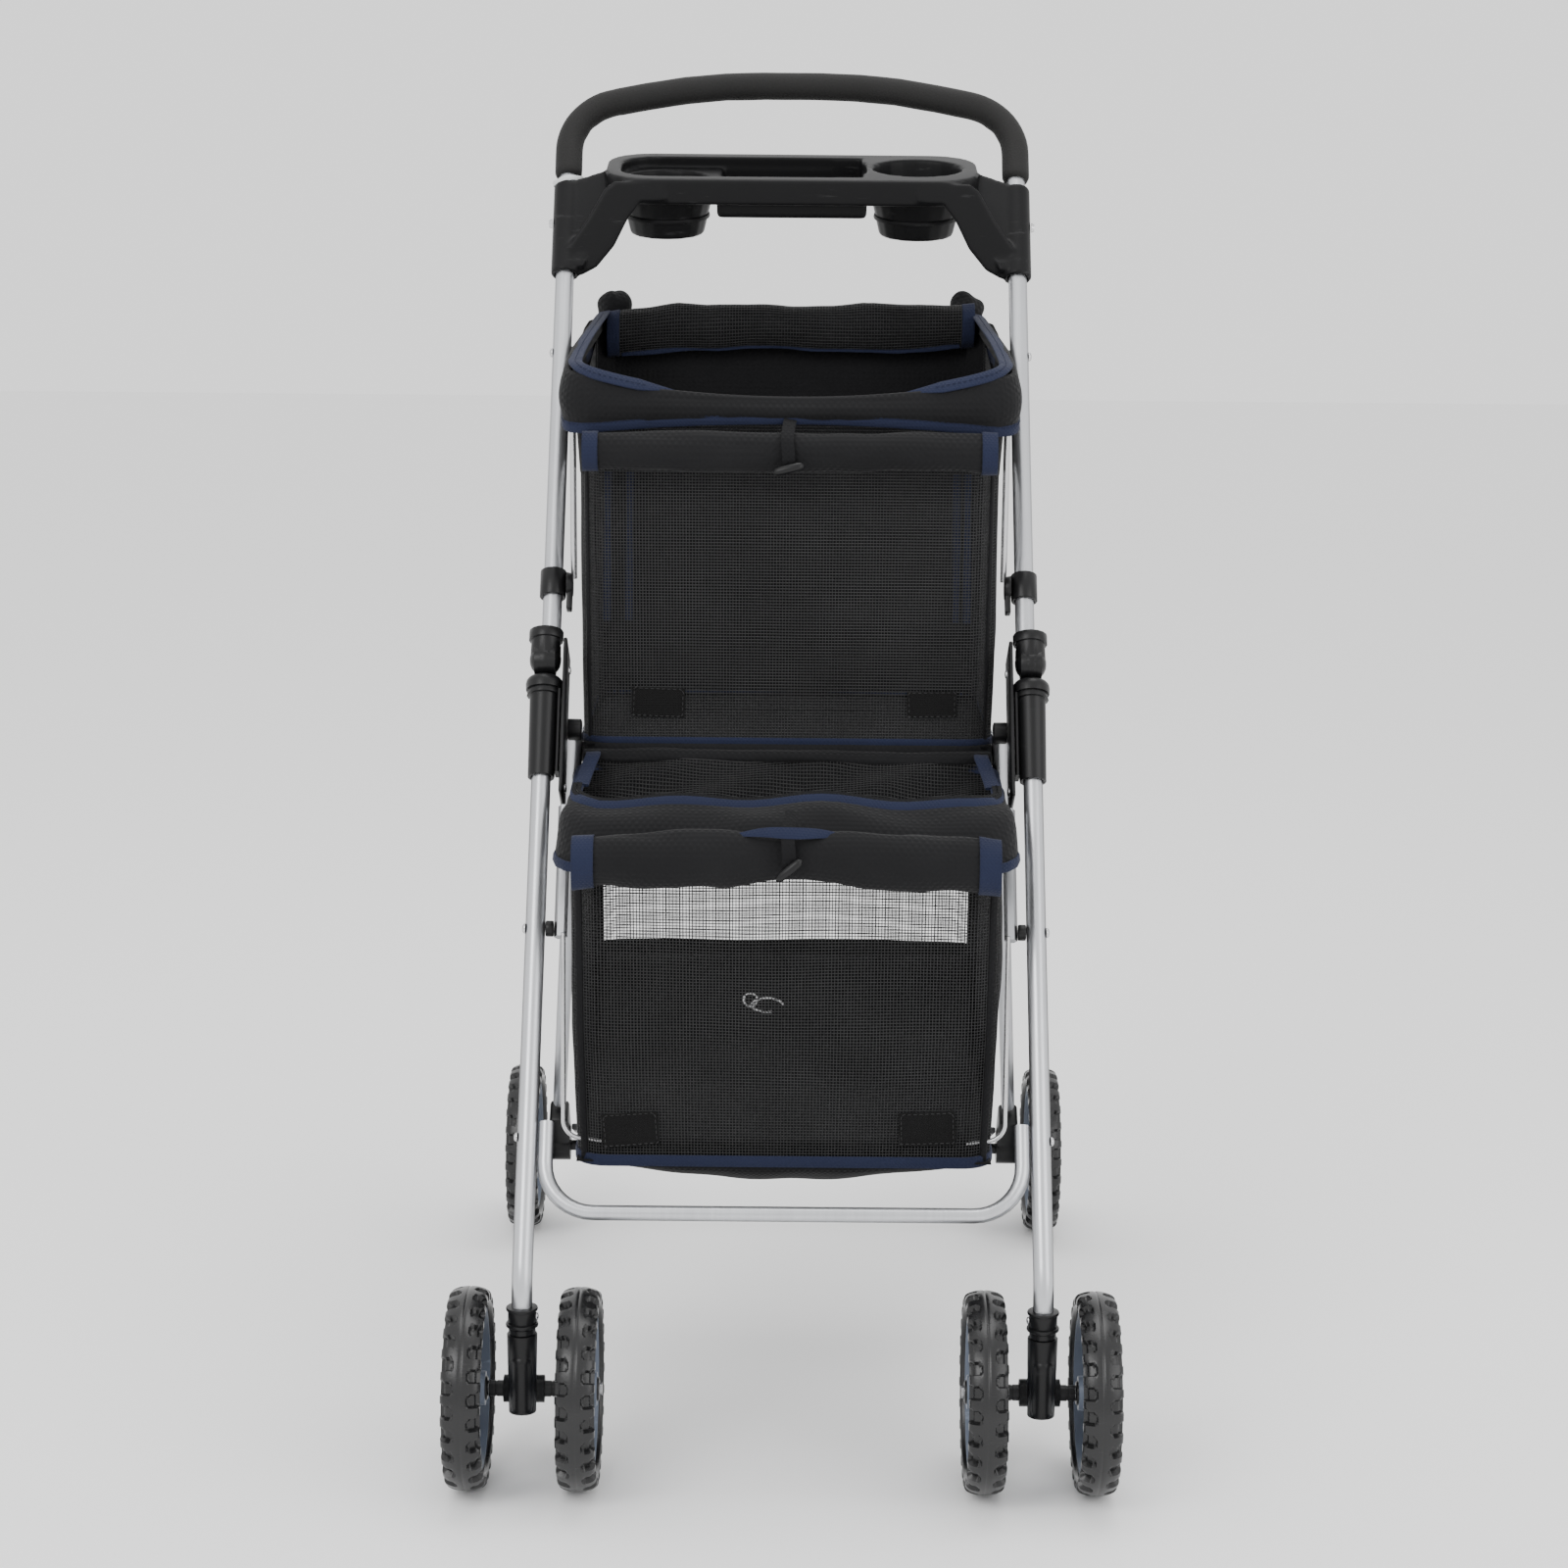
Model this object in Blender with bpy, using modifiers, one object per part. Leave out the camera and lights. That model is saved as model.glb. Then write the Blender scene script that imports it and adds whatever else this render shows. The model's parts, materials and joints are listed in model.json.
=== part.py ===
"""Two-tier folding pet stroller, in metres. +Z is up, -Y the front, +X the right as seen from the front."""

import math

import bmesh
import bpy
from mathutils import Matrix, Vector

GAP = 0.0004  # clearance between pieces that touch

# Wheels
WHEEL_R = 0.077
TREAD_W = 0.030
TYRE_T = 0.013
FRONT_AXLE_Y = -0.320
REAR_AXLE_Y = 0.320
CASTER_TRAIL = 0.018
AXLE_R = 0.005
HUB_BORE_R = AXLE_R + 0.0001
HUB_R = 0.013
WHEEL_STEPS = 20
SPOKE_HOLES = 5

# Main tubes
TILT = math.radians(32.2)  # their lean from the vertical, tops to the back
JOINT_Z = WHEEL_R + 0.511  # height of the point that places along the tubes are measured from
JOINT_Y = -0.0727
LEG_X = 0.1965  # centre of the lower main tubes
HANDLE_X = LEG_X - 0.004  # centre of the upper main tubes
TUBE_R = 0.0078
HANDLE_REACH = 0.536  # from the joint to the middle of the handle bar
HANDLE_CORNER = 0.05
HANDLE_BOW = 0.027
BOW_HALF = 0.075
FOLD_AT = 0.014  # the fold hinge, along the tubes

# Casters and the legs' ends
LEG_END = WHEEL_R + 0.051
COLLAR_TOP = LEG_END + 0.020
COLLAR_END = LEG_END + 0.0045
COLLAR_R = TUBE_R + 0.0029
FORK_R = 0.0115
WING_HALF = 0.0155
WING_R = 0.0105
TWIN_X = WING_HALF + TREAD_W / 2 + 0.012  # from the caster's middle to each of its wheels

# Lock sleeves and joint plates
SLEEVE_TOP = FOLD_AT - 0.020
SLEEVE_LEN = 0.0815
FLANGE_R = TUBE_R + 0.0064
PLATE_X = LEG_X - FLANGE_R - 0.0023
PLATE_T = 0.0030

# Rear legs and housings
REAR_LEG_R = 0.0062
REAR_TOP_X = PLATE_X - PLATE_T / 2 - REAR_LEG_R - GAP
REAR_FOOT_X = LEG_X + 0.0145
HOUSING_W = 0.018
HOUSING_X = REAR_FOOT_X + 0.0005
REAR_WHEEL_X = HOUSING_X + HOUSING_W / 2 + TREAD_W / 2 + 0.009

# Cabins and the rim of the upper one
WALL = 0.004
CABIN_HALF_W = REAR_TOP_X - REAR_LEG_R - 0.0007
RIM_R = 0.0035
RIM_HALF_W = HANDLE_X - TUBE_R - RIM_R - 0.0037

# Tray
TRAY_AT = HANDLE_REACH - 0.0528  # its middle, along the upper tubes
TRAY_BACK = 0.0026
TRAY_TILT = math.radians(10.5)
TRAY_HALF_W = HANDLE_X - 0.0325
TRAY_T = 0.022
TRAY_WALL = 0.0035
CUP_R = 0.041
CUP_TAPER = 0.78
CUP_DEPTH = 0.058
TRAY_HALF_D = CUP_R + 0.021
CUP_X = TRAY_HALF_W - CUP_R - 0.011
BIN_HALF_W = CUP_X - CUP_R - 0.003
BIN_HALF_D = TRAY_HALF_D - 0.015
BIN_DEPTH = 0.036
TROUGH_DEPTH = 0.010
ARM_FOOT = TRAY_AT - 0.111  # where the brackets end, along the upper tubes
ARM_TOP = TRAY_AT - 0.023
ARM_BOLT_AT = TRAY_AT - 0.0604
ARM_R = TUBE_R + 0.0042

ALONG = Vector((0, math.sin(TILT), math.cos(TILT)))  # up the main tubes
BEHIND = Vector((0, math.cos(TILT), -math.sin(TILT)))  # square to them, to the back
JOINT = Vector((0, JOINT_Y, JOINT_Z))
TURN = Matrix.Rotation(-TILT, 4, "X")  # sets a vertical shape on the main tubes' lean
SIDES = (("left", -1), ("right", 1))

for old in list(bpy.data.objects):
    bpy.data.objects.remove(old, do_unlink=True)


def collection(name):
    made = bpy.data.collections.new(name)
    bpy.context.scene.collection.children.link(made)
    return made


PARTS = collection("pet_stroller")
CUTTERS = collection("cutters")
CUTTERS.hide_render = True


def finish(name, colour, roughness, metallic=0.0):
    made = bpy.data.materials.new(name)
    made.use_nodes = True
    shader = made.node_tree.nodes["Principled BSDF"]
    shader.inputs["Base Color"].default_value = (*colour, 1)
    shader.inputs["Roughness"].default_value = roughness
    shader.inputs["Metallic"].default_value = metallic
    return made


SILVER = finish("silver_tube", (0.62, 0.63, 0.65), 0.35, 1.0)
STEEL = finish("bright_steel", (0.7, 0.7, 0.7), 0.25, 1.0)
PLASTIC = finish("black_plastic", (0.02, 0.02, 0.02), 0.45)
FOAM = finish("grip_foam", (0.03, 0.03, 0.03), 0.8)
TYRE = finish("tyre_rubber", (0.03, 0.03, 0.03), 0.6)
RIM = finish("rim_plastic", (0.25, 0.27, 0.3), 0.5)
FABRIC = finish("black_fabric", (0.01, 0.01, 0.012), 0.9)
PEDAL = finish("pedal_plastic", (0.12, 0.12, 0.12), 0.5)


def along(distance, behind=0.0, x=0.0):
    """A point beside the main tubes, measured from the joint."""
    return JOINT + ALONG * distance + BEHIND * behind + Vector((x, 0, 0))


def rounded(points, radii, step=math.radians(11)):
    """A polyline with each inner corner turned into an arc of its own radius."""
    points = [Vector(p) for p in points]
    path = [points[0]]
    for before, corner, after, radius in zip(points, points[1:], points[2:], radii):
        into = (corner - before).normalized()
        out = (after - corner).normalized()
        bend = into.angle(out)
        reach = radius * math.tan(bend / 2)
        start = corner - into * reach
        inward = (out - into * into.dot(out)).normalized()
        centre = start + inward * radius
        count = max(2, math.ceil(bend / step))
        for i in range(count + 1):
            a = bend * i / count
            path.append(centre - inward * radius * math.cos(a) + into * radius * math.sin(a))
    path.append(points[-1])
    return path


def add_object(name, data, group, material):
    made = bpy.data.objects.new(name, data)
    group.objects.link(made)
    if group is CUTTERS:
        made.display_type = "WIRE"
    if material:
        made.data.materials.append(material)
    return made


def tube(name, path, radius, material, sides=3):
    """A round bar or tube along a path, closed at both ends."""
    data = bpy.data.curves.new(name, "CURVE")
    data.dimensions = "3D"
    data.bevel_depth = radius
    data.bevel_resolution = sides - 1
    data.use_fill_caps = True
    spline = data.splines.new("POLY")
    spline.points.add(len(path) - 1)
    for point, place in zip(spline.points, path):
        point.co = (*place, 1)
    return add_object(name, data, PARTS, material)


def as_mesh(made):
    """The same piece as a mesh, with its end caps welded to its sides, so that it can be cut."""
    bpy.context.view_layer.update()
    graph = bpy.context.evaluated_depsgraph_get()
    mesh = bpy.data.meshes.new_from_object(made.evaluated_get(graph))
    name = made.name
    bpy.data.objects.remove(made, do_unlink=True)
    bm = bmesh.new()
    bm.from_mesh(mesh)
    bmesh.ops.remove_doubles(bm, verts=bm.verts, dist=1e-6)
    bm.to_mesh(mesh)
    bm.free()
    mesh.shade_smooth()
    mesh.set_sharp_from_angle(angle=math.radians(40))
    return add_object(name, mesh, PARTS, None)


def bm_object(name, bm, material, smooth=True, group=None, angle=30):
    bmesh.ops.recalc_face_normals(bm, faces=bm.faces)
    data = bpy.data.meshes.new(name)
    bm.to_mesh(data)
    bm.free()
    made = add_object(name, data, group or PARTS, material)
    if smooth:
        data.shade_smooth()
        data.set_sharp_from_angle(angle=math.radians(angle))
    return made


def block(name, size, matrix, material, bevel=0.0, group=None):
    """A box of the given size, with rounded edges where bevel is given."""
    bm = bmesh.new()
    bmesh.ops.create_cube(bm, size=1)
    bmesh.ops.scale(bm, vec=size, verts=bm.verts)
    if bevel:
        bmesh.ops.bevel(bm, geom=bm.edges[:], offset=bevel, segments=2, profile=0.5, affect="EDGES")
    bmesh.ops.transform(bm, matrix=matrix, verts=bm.verts)
    return bm_object(name, bm, material, group=group)


def rod(name, start, end, r1, r2, material, segments=16, group=None):
    """A solid cylinder or cone between two points."""
    start = Vector(start)
    end = Vector(end)
    line = end - start
    bm = bmesh.new()
    bmesh.ops.create_cone(
        bm, cap_ends=True, segments=segments, radius1=r1, radius2=r2, depth=line.length
    )
    turn = Vector((0, 0, 1)).rotation_difference(line).to_matrix().to_4x4()
    bmesh.ops.transform(bm, matrix=Matrix.Translation((start + end) / 2) @ turn, verts=bm.verts)
    return bm_object(name, bm, material, group=group)


def extruded(name, outline, half, matrix, material, group=None):
    """A flat outline given a thickness of twice half, as a mesh."""
    data = bpy.data.curves.new(name, "CURVE")
    data.dimensions = "2D"
    data.fill_mode = "BOTH"
    data.extrude = half
    spline = data.splines.new("POLY")
    spline.points.add(len(outline) - 1)
    for point, (x, y) in zip(spline.points, outline):
        point.co = (x, y, 0, 1)
    spline.use_cyclic_u = True
    helper = add_object(name + "_outline", data, CUTTERS, None)
    bpy.context.view_layer.update()
    graph = bpy.context.evaluated_depsgraph_get()
    mesh = bpy.data.meshes.new_from_object(helper.evaluated_get(graph))
    bm = bmesh.new()
    bm.from_mesh(mesh)
    bpy.data.objects.remove(helper, do_unlink=True)
    bpy.data.meshes.remove(mesh)
    bmesh.ops.remove_doubles(bm, verts=bm.verts, dist=1e-6)
    bmesh.ops.transform(bm, matrix=matrix, verts=bm.verts)
    return bm_object(name, bm, material, group=group)


def boolean(target, other, operation):
    modifier = target.modifiers.new(operation.lower() + "_" + other.name, "BOOLEAN")
    modifier.operation = operation
    modifier.object = other
    modifier.solver = "EXACT"
    bpy.context.view_layer.update()
    graph = bpy.context.evaluated_depsgraph_get()
    mesh = bpy.data.meshes.new_from_object(target.evaluated_get(graph))
    target.modifiers.clear()
    target.data = mesh
    bpy.data.objects.remove(other, do_unlink=True)


def join(target, *others):
    for other in others:
        boolean(target, other, "UNION")


def cut(target, *others):
    for other in others:
        boolean(target, other, "DIFFERENCE")


def set_origin(made, place):
    """Puts an object's origin on its joint axis and leaves its shape where it is."""
    place = Vector(place)
    made.data = made.data.copy() if made.data.users > 1 else made.data
    made.data.transform(Matrix.Translation(-place))
    made.location = place


def turned(name, profile, axis_place, material, steps=24):
    """A shape turned about an axis along X. The profile is (radius, offset along X), and it is closed."""
    bm = bmesh.new()
    corners = [bm.verts.new((r, 0, x)) for r, x in profile]
    for first, second in zip(corners, corners[1:] + corners[:1]):
        bm.edges.new((first, second))
    data = bpy.data.meshes.new(name)
    bm.to_mesh(data)
    bm.free()
    made = add_object(name, data, PARTS, material)
    screw = made.modifiers.new("turn", "SCREW")
    screw.axis = "Z"
    screw.steps = steps
    screw.render_steps = steps
    screw.use_merge_vertices = True
    screw.merge_threshold = 0.00001
    screw.use_smooth_shade = True
    bpy.context.view_layer.update()
    graph = bpy.context.evaluated_depsgraph_get()
    mesh = bpy.data.meshes.new_from_object(made.evaluated_get(graph))
    made.modifiers.clear()
    bm = bmesh.new()
    bm.from_mesh(mesh)
    bmesh.ops.remove_doubles(bm, verts=bm.verts, dist=1e-6)
    bmesh.ops.recalc_face_normals(bm, faces=bm.faces)
    bmesh.ops.transform(bm, matrix=Matrix.Rotation(math.pi / 2, 4, "Y"), verts=bm.verts)
    bm.to_mesh(mesh)
    bm.free()
    mesh.shade_smooth()
    mesh.set_sharp_from_angle(angle=math.radians(30))
    made.data = mesh
    made.location = axis_place
    return made


def on_lean(place):
    return Matrix.Translation(place) @ TURN


def hang(name, place, *pieces):
    """An empty on a joint's axis, with the pieces that turn about it as its children."""
    empty = bpy.data.objects.new(name, None)
    PARTS.objects.link(empty)
    empty.location = place
    for piece in pieces:
        piece.parent = empty
        piece.matrix_parent_inverse = Matrix.Translation(-Vector(place))


def bore(name, start, end, radius, segments=16):
    return rod(name, start, end, radius, radius, None, segments, CUTTERS)


def bore_along(start, end, x, radius=TUBE_R + GAP):
    """A cutter for a main tube's clearance hole."""
    return bore("bore", along(start, x=x), along(end, x=x), radius)


# Front legs: straight down the lean, then a bend to the vertical above each caster
LEG_BEND_R = 0.05
PIVOT_Y = FRONT_AXLE_Y - CASTER_TRAIL
LEG_BEND_Z = JOINT_Z + (PIVOT_Y - JOINT_Y) / math.tan(TILT)
for side, sign in SIDES:
    x = sign * LEG_X
    corners = [along(SLEEVE_TOP - 0.006, x=x), (x, PIVOT_Y, LEG_BEND_Z), (x, PIVOT_Y, LEG_END)]
    tube(f"front_leg_{side}", rounded(corners, [LEG_BEND_R]), TUBE_R, SILVER)

# The U-shaped front cross tube, riveted to the inner sides of the legs
CROSS_R = 0.006
CROSS_BEND_R = 0.038
CROSS_X = LEG_X - TUBE_R - CROSS_R - GAP
CROSS_LOW = (WHEEL_R + 0.1365 - JOINT_Z) / math.cos(TILT)
CROSS_TOP = CROSS_LOW + 0.0706
corners = [
    along(CROSS_TOP, x=-CROSS_X),
    along(CROSS_LOW, x=-CROSS_X),
    along(CROSS_LOW, x=CROSS_X),
    along(CROSS_TOP, x=CROSS_X),
]
tube("front_crossbar", rounded(corners, [CROSS_BEND_R] * 2), CROSS_R, SILVER)

# Lower side rails, inside the legs, and the spacers that bolt them there
RAIL_R = 0.0052
RAIL_X = PLATE_X - 0.0035
RAIL_TOP = -0.112
RAIL_END = -0.222
SPACER_AT = -0.215
SPACER_R = 0.0065
for side, sign in SIDES:
    rail = [along(RAIL_TOP, x=sign * RAIL_X), along(RAIL_END, x=sign * RAIL_X)]
    tube(f"side_rail_{side}", rail, RAIL_R, SILVER, sides=2)
    near = along(SPACER_AT, x=sign * (RAIL_X + RAIL_R + GAP))
    far = along(SPACER_AT, x=sign * (LEG_X - TUBE_R - GAP))
    rod(f"rail_spacer_{side}", near, far, SPACER_R, SPACER_R, PLASTIC, 12)

# Joint plates inside the legs; the rear legs hang on them
PLATE_TOP = 0.030
PLATE_END = -0.104
PLATE_W = 0.046
PLATE_BACK = 0.010
for side, sign in SIDES:
    middle = along((PLATE_TOP + PLATE_END) / 2, PLATE_BACK, sign * PLATE_X)
    size = (PLATE_T, PLATE_W, PLATE_TOP - PLATE_END)
    block(f"joint_plate_{side}", size, on_lean(middle), PLASTIC, bevel=0.001)

# Rear legs from the plates down and back, the housings at their feet, the axle and the brake pedals
REAR_PIVOT = along(-0.034, 0.028)
REAR_FOOT = Vector((0, REAR_AXLE_Y - 0.030, WHEEL_R + 0.051))
REAR_DIR = (REAR_FOOT - REAR_PIVOT).normalized()
REAR_LEAN = Matrix.Rotation(math.atan2(REAR_DIR.y, -REAR_DIR.z), 4, "X")
HOUSING_BOSS_R = 0.014
HOUSING_SIZE = (HOUSING_W, 0.024, 0.052)
HOUSING_PLACE = (REAR_AXLE_Y - 0.012, WHEEL_R + 0.023)
SOCKET_DEPTH = GAP * 1.5
PEDAL_SIZE = (0.017, 0.052, 0.006)
PEDAL_X = HOUSING_X - HOUSING_W / 2 - GAP - 0.0095
PEDAL_PLACE = (REAR_AXLE_Y + 0.012, WHEEL_R + 0.013)
PEDAL_TILT = Matrix.Rotation(math.radians(-20), 4, "X")
AXLE_END = REAR_WHEEL_X + TREAD_W / 2 + 0.003
rear_pieces = []
for side, sign in SIDES:
    top = REAR_PIVOT + Vector((sign * REAR_TOP_X, 0, 0))
    foot = REAR_FOOT + Vector((sign * REAR_FOOT_X, 0, 0))
    rear_pieces.append(tube(f"rear_leg_{side}", [top, foot], REAR_LEG_R, SILVER))
    place = Matrix.Translation((sign * HOUSING_X, *HOUSING_PLACE)) @ REAR_LEAN
    housing = block(f"rear_housing_{side}", HOUSING_SIZE, place, PLASTIC, bevel=0.003)
    near = Vector((sign * (HOUSING_X - HOUSING_W / 2), REAR_AXLE_Y, WHEEL_R))
    far = Vector((sign * (HOUSING_X + HOUSING_W / 2), REAR_AXLE_Y, WHEEL_R))
    join(housing, rod("boss", near, far, HOUSING_BOSS_R, HOUSING_BOSS_R, None))
    seat = REAR_FOOT + Vector((sign * HOUSING_X, 0, 0))
    socket_r = REAR_LEG_R + 0.0015
    cut(housing, bore("socket", seat - REAR_DIR * 0.02, seat + REAR_DIR * SOCKET_DEPTH, socket_r, 12))
    wider = (far - near) * 0.5
    cut(housing, bore("axle_hole", near - wider, far + wider, AXLE_R + GAP))
    rear_pieces.append(housing)
    place = Vector((sign * PEDAL_X, *PEDAL_PLACE))
    pedal = block(
        f"brake_pedal_{side}", PEDAL_SIZE, Matrix.Translation(place) @ PEDAL_TILT, PEDAL, bevel=0.0015
    )
    set_origin(pedal, place)
ends = [(sign * AXLE_END, REAR_AXLE_Y, WHEEL_R) for sign in (-1, 1)]
rear_pieces.append(rod("rear_axle", *ends, AXLE_R, AXLE_R, STEEL))
hang("rear_frame_pivot", REAR_PIVOT, *rear_pieces)

# Wheels
TYRE_IN = WHEEL_R - TYRE_T
RIM_EDGE = TYRE_IN - GAP
RIM_HALF = TREAD_W / 2 - 0.004
WEB_R = RIM_EDGE - 0.007
WEB_HALF = 0.003


def mirrored(profile):
    """A turned profile with its other half, so that it closes."""
    return profile + [(r, -x) for r, x in reversed(profile)]


def wheel(name, place):
    half = TREAD_W / 2
    tyre_half = [
        (TYRE_IN, half - 0.003),
        (TYRE_IN + 0.006, half),
        (WHEEL_R - 0.005, half - 0.001),
        (WHEEL_R, half - 0.008),
    ]
    turned(f"tyre_{name}", mirrored(tyre_half), place, TYRE, WHEEL_STEPS)
    rim_half = [
        (HUB_BORE_R, half - 0.002),
        (HUB_R, half - 0.002),
        (HUB_R + 0.001, WEB_HALF),
        (WEB_R, WEB_HALF),
        (WEB_R + 0.003, RIM_HALF),
        (RIM_EDGE, RIM_HALF),
    ]
    rim = turned(f"rim_{name}", mirrored(rim_half), place, RIM, WHEEL_STEPS)
    hole_r = (WEB_R - HUB_R) / 2 - 0.004
    for i in range(SPOKE_HOLES):
        a = 2 * math.pi * i / SPOKE_HOLES
        middle = Vector((0, math.cos(a), math.sin(a))) * (HUB_R + WEB_R) / 2 + Vector(place)
        reach = Vector((2 * WEB_HALF, 0, 0))
        cut(rim, bore("hole", middle - reach, middle + reach, hole_r, 6))


for side, sign in SIDES:
    wheel(f"rear_{side}", (sign * REAR_WHEEL_X, REAR_AXLE_Y, WHEEL_R))

# Casters: a collar on the leg, a swivelling housing and a short axle with two wheels
FORK_TOP = LEG_END - GAP
FORK_END = WHEEL_R - 0.011
for side, sign in SIDES:
    x = sign * LEG_X
    top = Vector((x, PIVOT_Y, COLLAR_TOP))
    end = Vector((x, PIVOT_Y, COLLAR_END))
    past = Vector((0, 0, 0.01))
    collar = rod(f"caster_collar_{side}", top, end, COLLAR_R, COLLAR_R, PLASTIC)
    cut(collar, bore("hollow", top + past, end - past, TUBE_R + GAP))
    top = (x, PIVOT_Y, FORK_TOP)
    fork = rod(f"caster_fork_{side}", top, (x, PIVOT_Y, FORK_END), FORK_R, FORK_R * 0.9, PLASTIC)
    axle = Vector((x, FRONT_AXLE_Y, WHEEL_R))
    half = Vector((WING_HALF, 0, 0))
    wing = rod("wing", axle - half, axle + half, WING_R, WING_R, None)
    place = Matrix.Translation((x, (PIVOT_Y + FRONT_AXLE_Y) / 2, WHEEL_R + 0.007))
    web = block("web", (0.014, CASTER_TRAIL + 0.012, 0.034), place, None, bevel=0.002)
    join(fork, wing, web)
    cut(fork, bore("axle_hole", axle - half * 2, axle + half * 2, AXLE_R + GAP))
    set_origin(fork, top)
    reach = Vector((TWIN_X + TREAD_W / 2 + 0.002, 0, 0))
    rod(f"caster_axle_{side}", axle - reach, axle + reach, AXLE_R, AXLE_R, STEEL)
    for place, shift in (("inner", -sign), ("outer", sign)):
        wheel(f"front_{side}_{place}", (x + shift * TWIN_X, FRONT_AXLE_Y, WHEEL_R))

# Fold joints: a knuckle on each upper tube and a lock sleeve on each leg
KNUCKLE_R = TUBE_R + 0.0047
KNUCKLE_TOP = 0.040
KNUCKLE_RING = 0.008
NOSE_HALF = 0.0085
HANDLE_END = FOLD_AT + KNUCKLE_R + 0.001
SLEEVE_R = TUBE_R + 0.004
FLANGE_LEN = 0.011
handle_pieces = []
for side, sign in SIDES:
    x = sign * LEG_X
    low = along(FOLD_AT, x=x)
    top = along(KNUCKLE_TOP, x=x)
    knuckle = rod(f"fold_knuckle_{side}", low, top, KNUCKLE_R, KNUCKLE_R * 0.95, PLASTIC)
    half = Vector((NOSE_HALF, 0, 0))
    nose = rod("nose", low - half, low + half, KNUCKLE_R, KNUCKLE_R, None)
    ring_r = KNUCKLE_R + 0.0015
    ring = rod("ring", along(KNUCKLE_TOP - KNUCKLE_RING, x=x), top, ring_r, ring_r, None)
    join(knuckle, nose, ring)
    cut(knuckle, bore_along(HANDLE_END - GAP, KNUCKLE_TOP + 0.02, sign * HANDLE_X))
    set_origin(knuckle, low)
    end = SLEEVE_TOP - SLEEVE_LEN
    top = along(SLEEVE_TOP, x=x)
    sleeve = rod(f"lock_sleeve_{side}", top, along(end, x=x), SLEEVE_R, SLEEVE_R - 0.001, PLASTIC)
    flange_end = along(SLEEVE_TOP - FLANGE_LEN, x=x)
    join(sleeve, rod("flange", top, flange_end, SLEEVE_R + GAP, FLANGE_R, None))
    cut(sleeve, bore_along(end - 0.01, SLEEVE_TOP + 0.01, x))
    set_origin(sleeve, top)

# Upper frame: one U-shaped tube with a bowed handle bar
CROWN = HANDLE_REACH + HANDLE_BOW
BOW_BEND_R = 0.45
route = rounded(
    [
        along(HANDLE_END, x=-HANDLE_X),
        along(HANDLE_REACH, x=-HANDLE_X),
        along(CROWN, x=-BOW_HALF),
        along(CROWN, x=BOW_HALF),
        along(HANDLE_REACH, x=HANDLE_X),
        along(HANDLE_END, x=HANDLE_X),
    ],
    [HANDLE_CORNER, BOW_BEND_R, BOW_BEND_R, HANDLE_CORNER],
)
handle_pieces.append(tube("handle_frame", route, TUBE_R, SILVER))

# Foam grip over the handle: the same route, shortened, with a bore for the tube
FOAM_R = TUBE_R + 0.0038
FOAM_END = HANDLE_REACH - 0.067
grip_ends = [along(FOAM_END, x=sign * HANDLE_X) for sign in (-1, 1)]
grip_route = [grip_ends[0]] + route[1:-1] + [grip_ends[1]]
grip = as_mesh(tube("handle_grip", grip_route, FOAM_R, FOAM))
cut(grip, as_mesh(tube("grip_bore", route, TUBE_R + 2 * GAP, None)))
handle_pieces.append(grip)

# Clamps on the upper tubes with their hook latches
CLAMP_AT = 0.0825
CLAMP_LEN = 0.023
CLAMP_R = TUBE_R + 0.003
HOOK_T = 0.005
for side, sign in SIDES:
    x = sign * HANDLE_X
    low = CLAMP_AT - CLAMP_LEN / 2
    high = CLAMP_AT + CLAMP_LEN / 2
    clamp = rod(f"tube_clamp_{side}", along(low, x=x), along(high, x=x), CLAMP_R, CLAMP_R, PLASTIC)
    cut(clamp, bore_along(low - 0.02, high + 0.02, x))
    handle_pieces.append(clamp)
    hook_x = x - sign * (CLAMP_R + GAP)
    far = along(CLAMP_AT, x=hook_x - sign * HOOK_T)
    hook = rod(f"latch_hook_{side}", along(CLAMP_AT, x=hook_x), far, 0.0105, 0.0095, PLASTIC, 20)
    place = on_lean(along(CLAMP_AT - 0.012, x=hook_x - sign * HOOK_T / 2))
    join(hook, block("tongue", (HOOK_T - GAP, 0.009, 0.022), place, None, bevel=0.001))
    set_origin(hook, along(CLAMP_AT, x=hook_x))

# Cup tray: a dished slab, two cup wells and a bin in it, and an arm and a bracket down to each tube
TRAY_MIDDLE = along(TRAY_AT, TRAY_BACK)
ON_TRAY = Matrix.Translation(TRAY_MIDDLE) @ Matrix.Rotation(TRAY_TILT, 4, "X")
TRAY_FRONT = ON_TRAY @ Vector((0, -TRAY_HALF_D, 0))
FACE_ON = Matrix.Rotation(math.pi / 2, 4, "X")  # sets a flat outline upright, facing the front


def rounded_rect(x0, x1, half_y, radius, steps=5):
    points = []
    corners = ((x1, 1, 1, 0), (x0, -1, 1, 90), (x0, -1, -1, 180), (x1, 1, -1, 270))
    for corner_x, sign_x, sign_y, start in corners:
        centre_x = corner_x - sign_x * radius
        centre_y = sign_y * (half_y - radius)
        for i in range(steps + 1):
            a = math.radians(start + 90 * i / steps)
            points.append((centre_x + radius * math.cos(a), centre_y + radius * math.sin(a)))
    return points


def on_tray(x, z):
    return ON_TRAY @ Vector((x, 0, z))


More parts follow.
